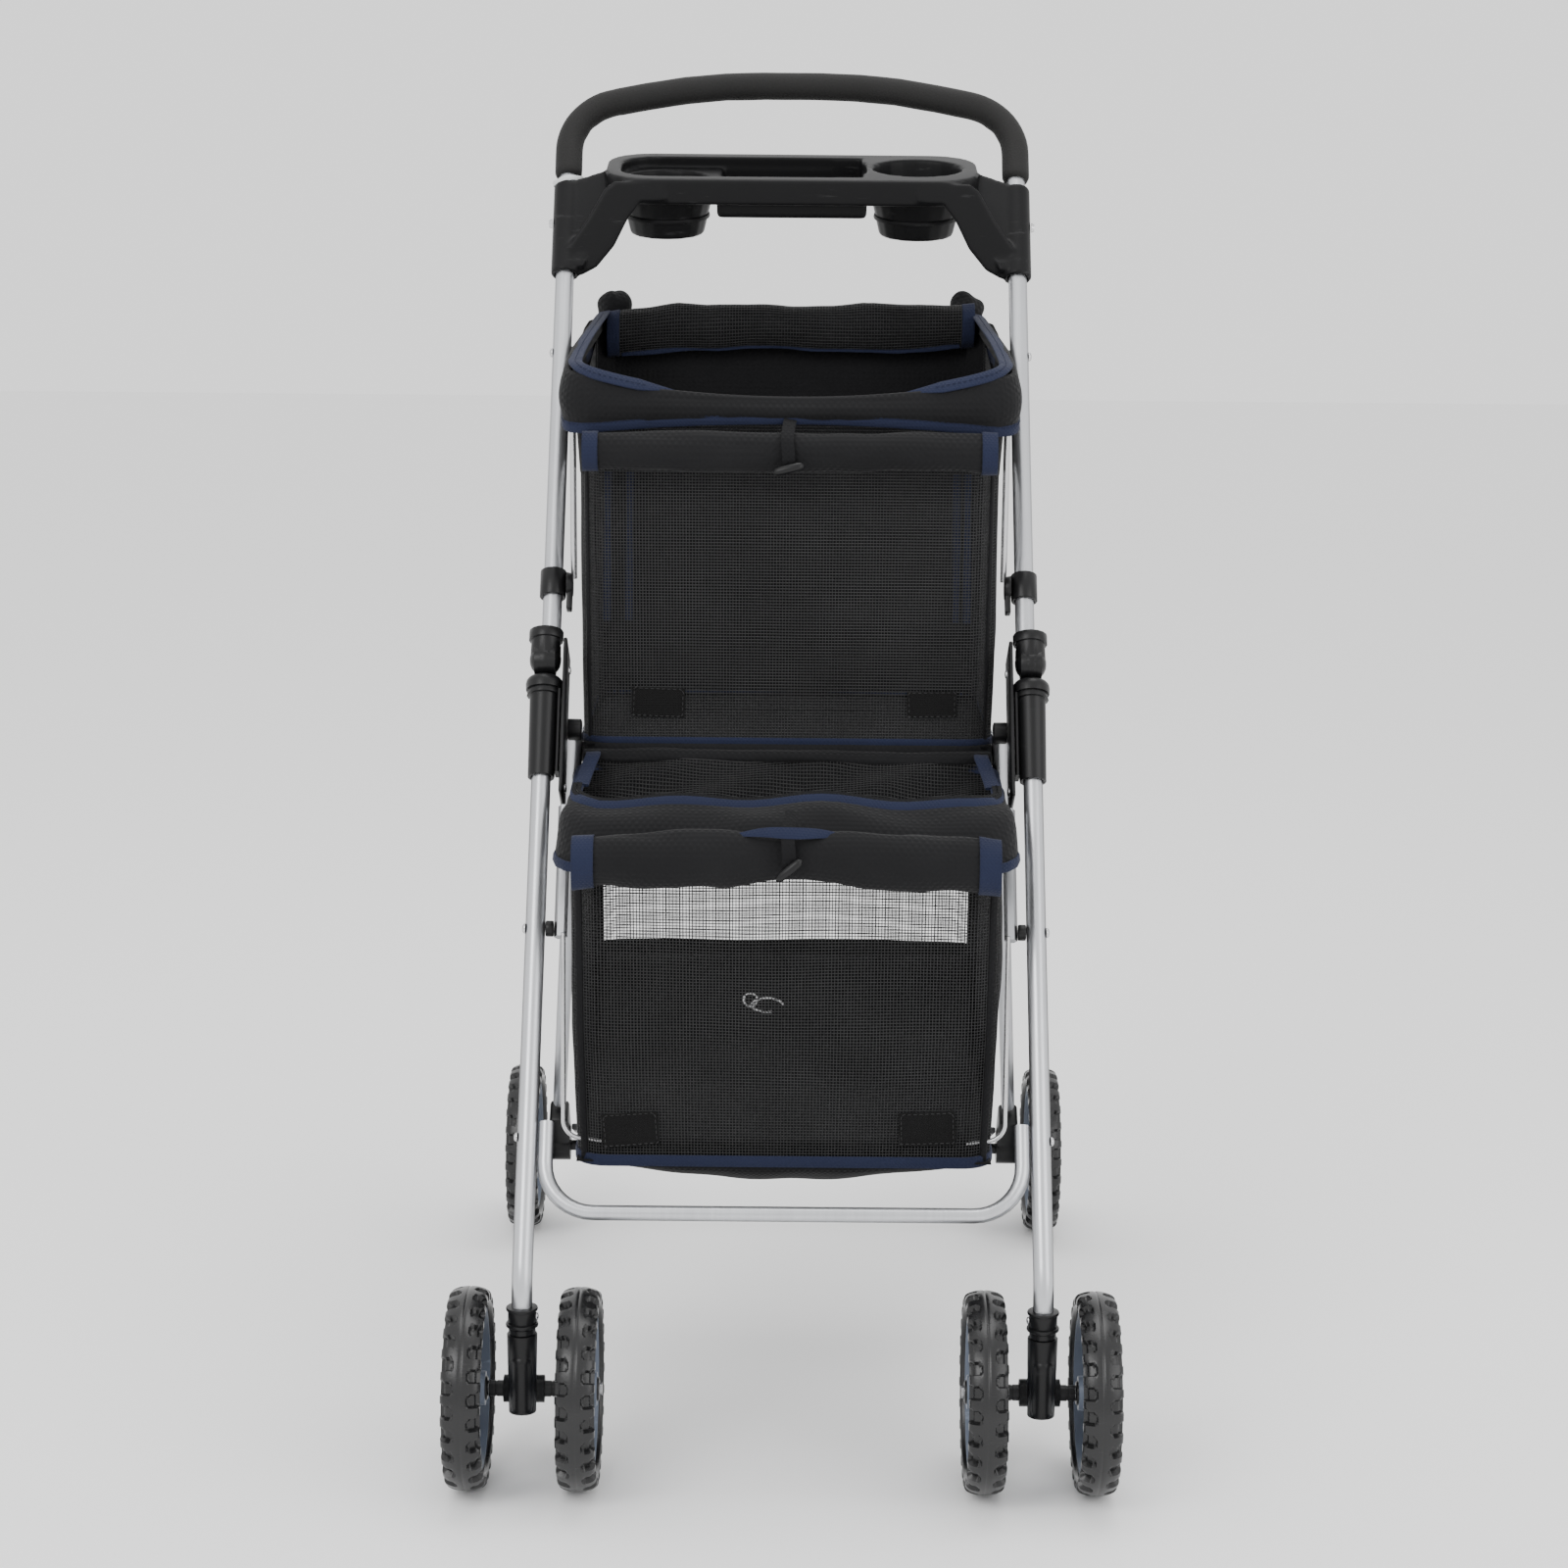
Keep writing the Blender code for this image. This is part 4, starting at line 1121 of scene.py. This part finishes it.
def buildLowerNets():
    cab = lowerCabin
    split = cab["backCloth"]
    netPiece("lower_net_front", wallPatch(lowerWall, 0, 1, 0.0, 1.0), (0.33, 0.26), False, steps=32)
    netPiece("lower_net_right", wallPatch(lowerWall, 1, 2, 0.0, 1.0), (0.30, 0.26), False)
    netPiece("lower_net_left", wallPatch(lowerWall, 3, lastPlace, 0.0, 1.0), (0.30, 0.26), False)
    behind = wallPatch(lowerWall, 2, 3, split, 1.0)
    netPiece("lower_net_back", behind, (0.33, 0.15), False, thread=0.00028)
    for label, s0, s1 in (("right", 1.45, 2.0), ("left", 3.0, 3.55)):
        panel = wallPatch(lowerWall, s0, s1, 0, 1)
        lining = clothSheet(f"lower_side_cloth_{label}", panel, 24, 20, cab["sideCloth"])
    back = clothSheet(
        "lower_back_cloth", wallPatch(lowerWall, 1.95, 3.05, 0, split), 44, 20, cab["wallCloth"]
    )
    inner = clothSheet("lower_inner_cloth", lowerInner, 40, 26, cab["sideCloth"])


def buildLowerBase():
    front, back, half = lowerCabin["levels"][0][1:]

    def basePlace(u, v):
        x = lerp(-half, half, u)
        y = lerp(front, back, v)
        middle = math.sin(math.pi * u)
        deep = math.sin(math.pi * v) ** 0.55
        sag = lowerCabin["baseSag"] * (middle ** 0.6) * deep
        crease = wave((x, y, 0), 16, 7.0) * 0.004 * deep + math.sin(x * 90 + y * 30) * 0.0006
        return Vector((x, y - 0.003 * deep, lowerCabin["baseZ"] - sag + crease * middle))

    base = clothSheet("lower_base_cloth", basePlace, 60, 40, lowerCabin["baseCloth"])
    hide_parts("lower_cabin")
    tapeLine("lower_seam_tape", seamLine(lowerWall, 0.004, 0.0010), 0.0095, 0.0030, closed=True)
    cornerTapes("lower_corner", lowerWall, 0.0, 1.0, -0.05, 0.006, 0.003, False)
    buildPatch("lower_patch_left", False, lowerFront)
    buildPatch("lower_patch_right", False, lowerFront)


lowerTop = {
    "mouthFront": -0.186,  # where the front binding lies
    "mouthBack": -0.074,
    "mouthZ": 0.5060,
    "mouthHalf": 0.1660,
    "hemHalf": 0.1840,
    "hemSide": 0.1715,
    "hemFront": -0.232,
    "hemZ": 0.4640,
    "cloth": 0.0016,
    "mouthWidth": 0.0100,
    "hemWidth": 0.0080,
    "tape": 0.0028,
    "zipWidth": 0.0075,
    "flapHalf": 0.1655,
}
crescentKnots = (
    (-0.042, -0.2445, 0.4935),
    (-0.018, -0.2520, 0.4975),
    (0.004, -0.2545, 0.4975),
    (0.026, -0.2500, 0.4965),
    (0.046, -0.2440, 0.4935),
)
leashClip = {"place": (-0.014, -0.2270, 0.3560), "size": 0.011, "ring": 0.0052}


def buildLowerTop():
    top = lowerTop
    count = 96

    def mouth(s):
        x, y = ringPoint(top["mouthFront"], top["mouthBack"], top["mouthHalf"], 0.024, s)
        dip = 0.0035 * math.sin(x * 55) + 0.002 * math.sin(x * 23 + 1)
        frontness = max(0.0, 1 - (y - top["mouthFront"]) / 0.03)
        rise = 0.010 * (y - top["mouthFront"]) / 0.112
        return Vector((x, y, top["mouthZ"] + rise + dip * frontness * 0.7))

    def hem(s):
        # the hem follows the cabin's whole outline and stands out furthest at the front
        x, y = ringPoint(top["hemFront"], 0.100, top["hemSide"], 0.040, s)
        frontness = max(0.0, 1 - (y - top["hemFront"]) / 0.075) ** 0.6
        x *= lerp(1.0, top["hemHalf"] / top["hemSide"], frontness)
        rise = 0.012 * math.exp(-((x / 0.055) ** 2)) if y < -0.2 else 0.0
        ripple = wave((x, y, 0), 14, 9.0) * 0.003
        return Vector((x, y, top["hemZ"] + rise + 0.010 * (1 - frontness) + ripple))

    def apron(u, v):
        s = 4 * u if u < 1 else 0.0
        edge = hem(s)
        puff = math.sin(math.pi * v) * (0.007 + wave((edge.x, edge.y, v * 0.1), 18, 3.0) * 0.004)
        return mouth(s).lerp(edge, v) + awayFrom(edge, 0.0) * puff * 0.8 + Vector((0, 0, puff))

    cover = clothSheet("lower_apron", apron, count, 16, top["cloth"], bandCloth, closed=True)
    line = [mouth(4 * i / count) + Vector((0, 0, 0.0012)) for i in range(count)]
    leaning = [Vector((0, -0.75, 0.65))] * count
    tapeLine("lower_mouth_binding", line, top["mouthWidth"], top["tape"], ups=leaning, closed=True)
    line = [hem(4 * i / count) for i in range(count)]
    ups = [awayFrom(p, -0.02) for p in line]
    line = [p + u * 0.001 for p, u in zip(line, ups)]
    tapeLine("lower_hem_tape", line, top["hemWidth"], top["tape"], ups=ups, closed=True)
    # zip teeth just inside the binding
    teeth = [mouth(lerp(-0.35, 1.35, i / 60) % 4) + Vector((0, 0.0065, 0.0040)) for i in range(61)]
    swept("lower_zip_tape", teeth, bandOutline(top["zipWidth"], 0.001), (0, -0.6, 0.8), blackCloth)
    teeth = [p + Vector((0, -0.0006, 0.0010)) for p in teeth]
    stitches("lower_zip_teeth", teeth, False, blackPlastic, pitch=0.0034)

    def flap(u, v):
        # the net flap folded down inside the mouth
        x = lerp(-top["flapHalf"], top["flapHalf"], u)
        y = lerp(-0.078, -0.098, v) + wave((x, v * 0.03, 0), 16, 5.0) * 0.010
        z = lerp(0.522, 0.492, v) + math.sin(x * 60 + v * 5) * 0.0022
        z += wave((x, 0, v * 0.05), 24, 2.0) * 0.004
        return Vector((x, y, z))

    sheet = clothSheet("lower_flap", flap, 90, 14, top["cloth"], bandCloth)
    over = lambda u, v: flap(u, v) + Vector((0, -0.0022, 0.001))
    netPiece("lower_flap_net", over, (0.32, 0.04), False, steps=60)
    knots = (
        (0.158, -0.070, 0.526),
        (0.1565, -0.092, 0.5280),
        (0.1600, -0.112, 0.5200),
        (0.1630, -0.140, 0.5120),
    )
    for label, sign in sides:
        path = curveThrough([(sign * x, y, z) for x, y, z in knots])
        ups = [Vector((0, -0.3, 1))] * len(path)
        tapeLine(f"lower_flap_loop_{label}", path, 0.012, 0.0024, ups=ups)
    buildRoll("lower_back_roll")


def circle(centre, wide, tall, count, points):
    angles = [2 * math.pi * k / count for k in range(points)]
    return [centre + Vector((wide * math.cos(a), 0, tall * math.sin(a))) for a in angles]


def buildLowerRoll():
    buildRoll("lower_front_roll")
    toggleLoop("lower_toggle", (0.001, -0.2480, 0.4790), 0.7)
    pointed = lambda t: max(0.1, math.sin(math.pi * t) ** 0.7)
    outline = bandOutline(0.0100, 0.0016)
    path = curveThrough(crescentKnots)
    swept("lower_crescent_tape", path, outline, (0, -0.8, 0.6), navyTape, taper=pointed)
    # a small spring hook on a ring
    centre = Vector(leashClip["place"])
    size = leashClip["size"]
    hook = circle(centre, size * 1.1, size * 0.5, 20, 17)
    swept("leash_clip_hook", hook, roundOutline(0.0010, 8), (0, 1, 0), brightSteel)
    ring = circle(centre + Vector((-0.013, 0.001, 0.004)), leashClip["ring"], leashClip["ring"], 20, 20)
    swept("leash_clip_ring", ring, roundOutline(0.0009, 8), (0, 1, 0), brightSteel, closed=True)


fittings = {
    "baseWire": {"x": 0.1740, "radius": 0.0019},
    "upperWire": {"x": 0.1760, "radius": 0.0026},
    "spacer": {"at": 0.2975, "xs": (0.1755, 0.1800, 0.1846), "radius": 0.0056},
}


def buildWires():
    base = fittings["baseWire"]
    upper = fittings["upperWire"]
    spacer = fittings["spacer"]
    at = along(spacer["at"])
    for label, sign in sides:
        x = sign * base["x"]
        knots = [(x, -0.196, 0.405), (x, -0.203, 0.243), (x - sign * 0.03, -0.203, 0.238)]
        path = rounded(knots, [0.014])
        swept(f"base_wire_{label}", path, roundOutline(base["radius"], 10), (0.3, 1, 0), brightSteel)
        path = [Vector((sign * upper["x"], -0.030 + 0.001 * i, 0.792 - 0.0130 * i)) for i in range(11)]
        outline = roundOutline(upper["radius"], 10)
        foldingPieces.append(swept(f"upper_wire_{label}", path, outline, (0, 1, 0), brightSteel))
        path = [Vector((sign * x, at.y, at.z)) for x in spacer["xs"]]
        outline = roundOutline(spacer["radius"], 16)
        swept(f"cabin_spacer_{label}", path, outline, (0, 0, 1), blackPlastic, "handle")


outerLeg = layout["legX"] + layout["tubeRadius"]
outerHandle = layout["handleX"] + layout["tubeRadius"]
plateFace = 0.1780
boltShape = ((0.35, 0.97), (0.7, 0.80), (0.92, 0.5), (1.0, 0.15), (1.0, 0.0))
bolts = (
    # name, place along and behind the tubes, across, which way it faces, radius, body, height
    ("spacer_bolt", -0.215, 0.0, outerLeg, 1, 0.0040, "frame", 0.0026),
    ("cabin_bolt", 0.2975, 0.0, outerHandle, 1, 0.0038, "handle", 0.0026),
    ("cross_bolt", -0.384, 0.0, outerLeg, 1, 0.0036, "frame", 0.0026),
    ("plate_bolt_low", -0.093, 0.010, plateFace, -1, 0.0036, "frame", 0.0016),
    ("plate_bolt_top", 0.012, 0.014, plateFace, -1, 0.0036, "frame", 0.0016),
    ("fold_pin", 0.014, 0.0, layout["legX"] + 0.0088, 1, 0.0052, "handle", 0.0026),
)


def boltHead(name, place, sign, radius, body, height):
    # a low domed head on the outside of a tube
    profile = [(radius * r, height * h) for r, h in boltShape]
    lathe(name, profile, place, turned(sign * 90, "Y"), brightSteel, body, 16, 50)


def buildBolts():
    for label, sign in sides:
        for name, at, behind, x, way, radius, body, height in bolts:
            place = along(at, behind, x=sign * x)
            boltHead(f"{name}_{label}", place, sign * way, radius, body, height)


def buildStrap():
    # a thin clear band round the left end of the grip
    centre = along(layout["foamStart"] - 0.004, x=-layout["handleX"])
    angles = [2 * math.pi * k / 26 for k in range(30)]
    turn = []
    for a in angles:
        r = 0.0108 + 0.0010 * math.sin(3 * a)
        beside = Vector((math.cos(a) * r * 1.15, 0, 0))
        behind = backTube * (math.sin(a) * r)
        turn.append(centre + beside + behind + upTube * (0.004 * math.sin(a + 0.6)))
    turn.append(turn[-1] + Vector((-0.012, -0.004, 0.002)))
    angles.append(2 * math.pi * 30 / 26)
    ups = [backTube * math.sin(a) + Vector((math.cos(a), 0, 0)) for a in angles]
    swept("grip_strap", turn, bandOutline(0.0045, 0.0007), ups, clearStrap, "handle")


tyre = {
    "lugs": 26,
    "pocket": 0.0040,
    # half of the section, from the inside edge round to the crown: radius and distance across
    "section": (
        (0.0640, 0.0116),
        (0.0650, 0.0138),
        (0.0672, 0.0149),
        (0.0700, 0.0150),
        (0.0722, 0.0146),
        (0.0741, 0.0130),
        (0.0754, 0.0104),
        (0.0763, 0.0072),
        (0.0769, 0.0038),
        (0.0770, 0.0014),
        (0.0766, 0.0000),
    ),
}


def softStep(value, edge):
    t = min(1.0, max(0.0, value / edge))
    return t * t * (3 - 2 * t)


def pocketDepth(share, phase):
    # one cut-out of the tread: round at its inner end, slanted below, open at the shoulder
    reach = share - 0.24
    if reach <= 0 or share > 1.10:
        return 0.0
    turn = 0.17 * (1 - min(1.0, reach / 0.20)) ** 2
    top = 0.17 + turn
    end = 0.64 + 0.20 * share - turn
    wall = min(phase - top, end - phase)
    return softStep(wall, 0.075) * softStep(reach, 0.05) * softStep(1.10 - share, 0.12)


def buildTyre(label, body, centre):
    section = curveThrough([(r, x, 0) for r, x in tyre["section"]], per=4)
    section = section + [Vector((p.x, -p.y, 0)) for p in reversed(section[:-1])]
    middle = (len(section) - 1) // 2
    travelled = [0.0]
    for a, b in zip(section[middle:], section[middle + 1:]):
        travelled.append(travelled[-1] + (b - a).length)
    steps = 12
    sector = 2 * math.pi / tyre["lugs"]
    bm = bmesh.new()
    rows = []
    for i in range(steps + 1):
        row = []
        for k, p in enumerate(section):
            before = section[max(k - 1, 0)]
            after = section[min(k + 1, len(section) - 1)]
            heading = (after - before).normalized()
            share = travelled[abs(k - middle)] / 0.0200
            phase = (i / steps + (0.0 if k < middle else 0.5)) % 1.0
            sunk = tyre["pocket"] * pocketDepth(share, phase)
            r = p.x - abs(heading.y) * sunk
            x = p.y - (1 if p.y > 0 else -1) * abs(heading.x) * sunk
            a = sector * i / steps
            row.append(bm.verts.new(Vector((x, r * math.sin(a), r * math.cos(a)))))
        rows.append(row)
    count = len(section)
    for first, second in zip(rows, rows[1:]):
        for k in range(count):
            n = (k + 1) % count
            bm.faces.new((first[k], second[k], second[n], first[n]))
    made = linkMesh(f"tyre_{label}_tread", bm, tyreRubber, body, 50, fix=False)
    useTree(made, ringTree, {"Count": tyre["lugs"], "Centre": centre, "Material": tyreRubber})
    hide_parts(f"tyre_{label}")


def buildWheels():
    places = [(f"rear_{label}", f"wheel_rear_{label}") for label, _ in sides]
    for label, _ in sides:
        places += [(f"front_{label}_{part}", f"wheel_{label}_{part}") for part in ("inner", "outer")]
    cap = ((0.0092, 0.0120), (0.0092, 0.0136), (0.0086, 0.0146), (0.0064, 0.0151), (0.0040, 0.0153))
    for label, body in places:
        low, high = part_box(f"tyre_{label}")
        centre = (low + high) / 2
        buildTyre(label, body, centre)
        smoothCopy(f"rim_{label}", rimPlastic, 35, 0.0006, f"rim_{label}_skin")
        for side, sign in (("near", 1), ("far", -1)):
            lathe(f"hub_cap_{label}_{side}", cap, centre, turned(sign * 90, "Y"), blackPlastic, body)


def buildFrameSkins():
    castings = ("rail_spacer", "joint_plate", "rear_housing", "caster_collar", "caster_fork")
    castings += ("fold_knuckle", "lock_sleeve", "tube_clamp", "latch_hook")
    for label, _ in sides:
        for node in ("front_leg", "side_rail", "rear_leg"):
            smoothCopy(f"{node}_{label}", silverTube, 60)
        for node in castings:
            smoothCopy(f"{node}_{label}", blackPlastic, 38, 0.0009)
        smoothCopy(f"brake_pedal_{label}", pedalPlastic, 35, 0.0008)
        for node in ("caster_axle", "tray_bolt"):
            smoothCopy(f"{node}_{label}", brightSteel, 40)
    smoothCopy("front_crossbar", silverTube, 60)
    smoothCopy("rear_axle", blackPlastic, 40)


# what the plastic castings show beyond their plain solids: radius and height
mouldings = {
    "dome": (
        (0.0148, -0.0120), (0.0152, -0.0070), (0.0146, -0.0040), (0.0128, -0.0018),
        (0.0100, -0.0008), (0.0083, -0.0008), (0.0083, -0.0118),
    ),
    "spine": (
        (0.0030, 0.1130), (0.0058, 0.1122), (0.0076, 0.1102), (0.0084, 0.1070),
        (0.0084, 0.0720), (0.0078, 0.0685), (0.0060, 0.0664), (0.0030, 0.0658),
    ),
    "cap": ((0.0070, 0.0), (0.0088, 0.0008), (0.0090, 0.0100), (0.0086, 0.0112)),
    "neck": ((0.0098, 0.1281), (0.0102, 0.1285), (0.0102, 0.1322), (0.0098, 0.1326)),
    "lip": ((0.0104, 0.1460), (0.0118, 0.1464), (0.0122, 0.1476), (0.0118, 0.1487), (0.0096, 0.1490)),
    "ring": ((0.0106, 0.1335), (0.0121, 0.1338), (0.0124, 0.1350), (0.0121, 0.1362), (0.0106, 0.1365)),
    "axleSleeve": (
        (0.0056, 0.0150), (0.0062, 0.0152), (0.0062, 0.0205), (0.0057, 0.0207),
        (0.0057, 0.0216), (0.0062, 0.0218), (0.0062, 0.0268), (0.0056, 0.0270),
    ),
    "ballRadius": 0.0128,
    "ballNeck": ((0.0128, 0.0030), (0.0122, 0.0045)),
    "cheek": (-0.0125, -0.0145, -0.0250, -0.0500, -0.0820, -0.0845),  # along the tubes
    "cheekX": 0.1840,
    "capX": 0.1669,
}


def buildMouldings():
    upright = Matrix.Identity(3)
    lean = Matrix.Rotation(-layout["lean"], 3, "X")
    size = mouldings["ballRadius"]
    angles = [math.radians(a) for a in (-75, -60, -45, -30, -15, 0)]
    ball = [(size * math.cos(a), size * math.sin(a)) for a in angles]
    ball += mouldings["ballNeck"]
    for label, sign in sides:
        x = sign * layout["legX"]
        pivot = Vector((x, layout["casterY"], 0.0))
        rearPivot = along(*layout["rearPivot"], x=sign * mouldings["capX"])
        spineAt = pivot + Vector((0, -0.0050, 0))
        turns = (
            ("rear_leg_cap", mouldings["cap"], rearPivot, turned(sign * 90, "Y"), "rear_frame"),
            ("sleeve_dome", mouldings["dome"], along(0.0, x=x), lean, f"sleeve_{label}"),
            ("fork_spine", mouldings["spine"], spineAt, upright, f"caster_{label}"),
            ("collar_neck", mouldings["neck"], pivot, upright, "frame"),
            ("knuckle_ball", ball, along(layout["foldPin"], x=x), lean, "handle"),
            ("collar_lip", mouldings["lip"], pivot, upright, "frame"),
            ("collar_ring", mouldings["ring"], pivot, upright, "frame"),
        )
        for name, profile, place, turn, body in turns:
            lathe(f"{name}_{label}", profile, place, turn, blackPlastic, body)
        cheek = [along(d, x=sign * mouldings["cheekX"]) for d in mouldings["cheek"]]
        outline = bandOutline(0.0150, 0.0032)
        swept(f"sleeve_cheek_{label}", cheek, outline, (sign, 0, 0), blackPlastic, f"sleeve_{label}")
        screw = pivot + Vector((-sign * 0.0108, 0, 0.1412))
        boltHead(f"collar_screw_{label}", screw, -sign, 0.0030, "frame", 0.0018)
        axle = Vector((x, *layout["frontAxle"]))
        for part, way in (("near", 1), ("far", -1)):
            name = f"axle_sleeve_{label}_{part}"
            turn = turned(way * 90, "Y")
            lathe(name, mouldings["axleSleeve"], axle, turn, blackPlastic, f"caster_{label}")


tray = {
    "grain": 0.0012,  # finest detail kept when the edges are run together
    "smoothing": 20,
    "tilt": 10.5,
    "middle": (0.4832, 0.0026),
    "cupX": 0.108,
    "cupRing": (
        (0.0352, -0.0440), (0.0368, -0.0436), (0.0372, -0.0420), (0.0368, -0.0404), (0.0356, -0.0400),
    ),
}


def buildTray():
    # the solid's own shape, with every edge and corner run together
    bm = bmesh.new()
    bm.from_mesh(frame["nodes"]["cup_tray"].data)
    bmesh.ops.remove_doubles(bm, verts=bm.verts, dist=1e-6)
    made = linkMesh("cup_tray_moulding", bm, trayPlastic, "handle")
    addModifier(made, "REMESH", mode="VOXEL", voxel_size=tray["grain"])
    addModifier(made, "SMOOTH", factor=0.5, iterations=tray["smoothing"])
    applyAll(made)
    made.data.shade_smooth()
    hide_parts("cup_tray")
    # a raised ring near the foot of each cup
    for label, sign in sides:
        place = along(*tray["middle"]) + Vector((sign * tray["cupX"], 0, 0))
        turn = turned(tray["tilt"], "X")
        lathe(f"cup_ring_{label}", tray["cupRing"], place, turn, trayPlastic, "handle", 40)


def gripRoute(start):
    # up each tube, round the corners and over the bowed bar
    x = layout["handleX"]
    reach = layout["handleReach"]
    rise, half, bend = layout["bow"]
    corner = layout["handleCorner"]
    points = [
        along(start, x=-x),
        along(reach, x=-x),
        along(reach + rise, x=-half),
        along(reach + rise, x=half),
        along(reach, x=x),
        along(start, x=x),
    ]
    return rounded(points, [corner, bend, bend, corner])


def buildHandle():
    outline = roundOutline(layout["tubeRadius"], 24)
    route = gripRoute(layout["handleStart"])
    tube = swept("handle_tube", route, outline, backTube, silverTube, "handle")
    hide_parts("handle_frame")
    path = []
    route = gripRoute(layout["foamStart"])
    for a, b in zip(route, route[1:]):
        pieces = max(1, round((b - a).length / 0.0035))
        path += [a.lerp(b, k / pieces) for k in range(pieces)]
    path.append(route[-1])
    count = len(path)
    travelled = [0.0]
    for a, b in zip(path, path[1:]):
        travelled.append(travelled[-1] + (b - a).length)
    corners = 32
    bm = bmesh.new()
    rings = []
    for i, p in enumerate(path):
        heading = (path[min(i + 1, count - 1)] - path[max(i - 1, 0)]).normalized()
        across = heading.cross(backTube).normalized()
        end = min(travelled[i], travelled[-1] - travelled[i])
        swell = min(1.0, 0.86 + 0.14 * math.sqrt(min(end / 0.004, 1)))
        # creases bunch on the inside of each bend
        bend = math.exp(-((end - 0.062) / 0.022) ** 2)
        nick = -0.0010 * math.exp(-((travelled[i] - 0.092) / 0.003) ** 2)
        ring = []
        for k in range(corners):
            a = 2 * math.pi * k / corners
            out = across * math.cos(a) + backTube * math.sin(a)
            inside = max(0.0, -out.dot(upTube) * 0.7 - out.x * (1 if p.x > 0 else -1) * 0.7)
            crease = -0.0007 * bend * inside * (0.5 + 0.5 * math.sin(travelled[i] * 900))
            pinch = nick * (0.5 + 0.5 * math.cos(a - 1))
            lump = wave(p + out * 0.01, 40, 1.0) * 0.0003
            ring.append(bm.verts.new(p + out * (layout["foamRadius"] * swell + crease + pinch + lump)))
        rings.append(ring)
    joinRings(bm, rings)
    grip = linkMesh("handle_foam", bm, gripFoam, "handle", 70)
    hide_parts("handle_grip")


studio = {
    "floor": (0.93, 0.93, 0.93),
    "world": 1.4,
    "aim": Vector((0, 0, 0.55)),
    "lamps": (
        # name, place, size, power
        ("key", (-1.6, -2.4, 2.6), 1.6, 42),
        ("fill", (2.2, -1.8, 1.6), 1.8, 22),
        ("top", (0.2, 0.3, 3.0), 1.6, 26),
    ),
}
view = {
    "place": (-0.0024, -2.715, 0.993),
    "pitch": 10.53,
    "roll": 0.50,
    "sensor": 36,
    "focal": 3372 / 1600 * 36,
}


def buildStage():
    bm = bmesh.new()
    bmesh.ops.create_grid(bm, x_segments=8, y_segments=8, size=12)
    data = bpy.data.meshes.new("studio_floor")
    bm.to_mesh(data)
    bm.free()
    floor = bpy.data.objects.new("studio_floor", data)
    bpy.context.scene.collection.objects.link(floor)
    material, _, shader, _ = newMaterial("studioFloor", 0.9)
    shader.inputs["Base Color"].default_value = (*studio["floor"], 1)
    data.materials.append(material)
    floor.location.z = -0.0005
    world = bpy.data.worlds.new("studio")
    world.use_nodes = True
    background = world.node_tree.nodes["Background"]
    background.inputs["Color"].default_value = (1, 1, 1, 1)
    background.inputs["Strength"].default_value = studio["world"]
    bpy.context.scene.world = world
    for name, place, size, power in studio["lamps"]:
        light = bpy.data.lights.new(name, "AREA")
        light.size = size
        light.energy = power
        lamp = bpy.data.objects.new(name, light)
        bpy.context.scene.collection.objects.link(lamp)
        lamp.location = place
        lamp.rotation_euler = (studio["aim"] - Vector(place)).to_track_quat("-Z", "Y").to_euler()


def buildCamera():
    data = bpy.data.cameras.new("camera")
    data.sensor_width = view["sensor"]
    data.lens = view["focal"]
    camera = bpy.data.objects.new("camera", data)
    bpy.context.scene.collection.objects.link(camera)
    look = Matrix.Rotation(math.radians(90 - view["pitch"]), 4, "X")
    roll = Matrix.Rotation(math.radians(view["roll"]), 4, "Z")
    camera.matrix_world = Matrix.Translation(view["place"]) @ look @ roll
    bpy.context.scene.camera = camera


buildCamera()
buildStage()
print("camera and studio ready")
buildFrameSkins()
buildMouldings()
buildTray()
buildHandle()
print("frame ready")
buildWheels()
print("wheels ready")
standIn = buildUpperNets()
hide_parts("upper_cabin")
buildUpperRim()
buildUpperRolls()
buildUpperTrim()
print("upper cabin ready")
buildCabinSkirt()
buildLowerNets()
buildLowerBase()
buildLowerTop()
buildLowerRoll()
print("lower cabin ready")
buildWires()
buildBolts()
buildStrap()
for piece in foldingPieces:
    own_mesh(piece)
print("fittings ready")
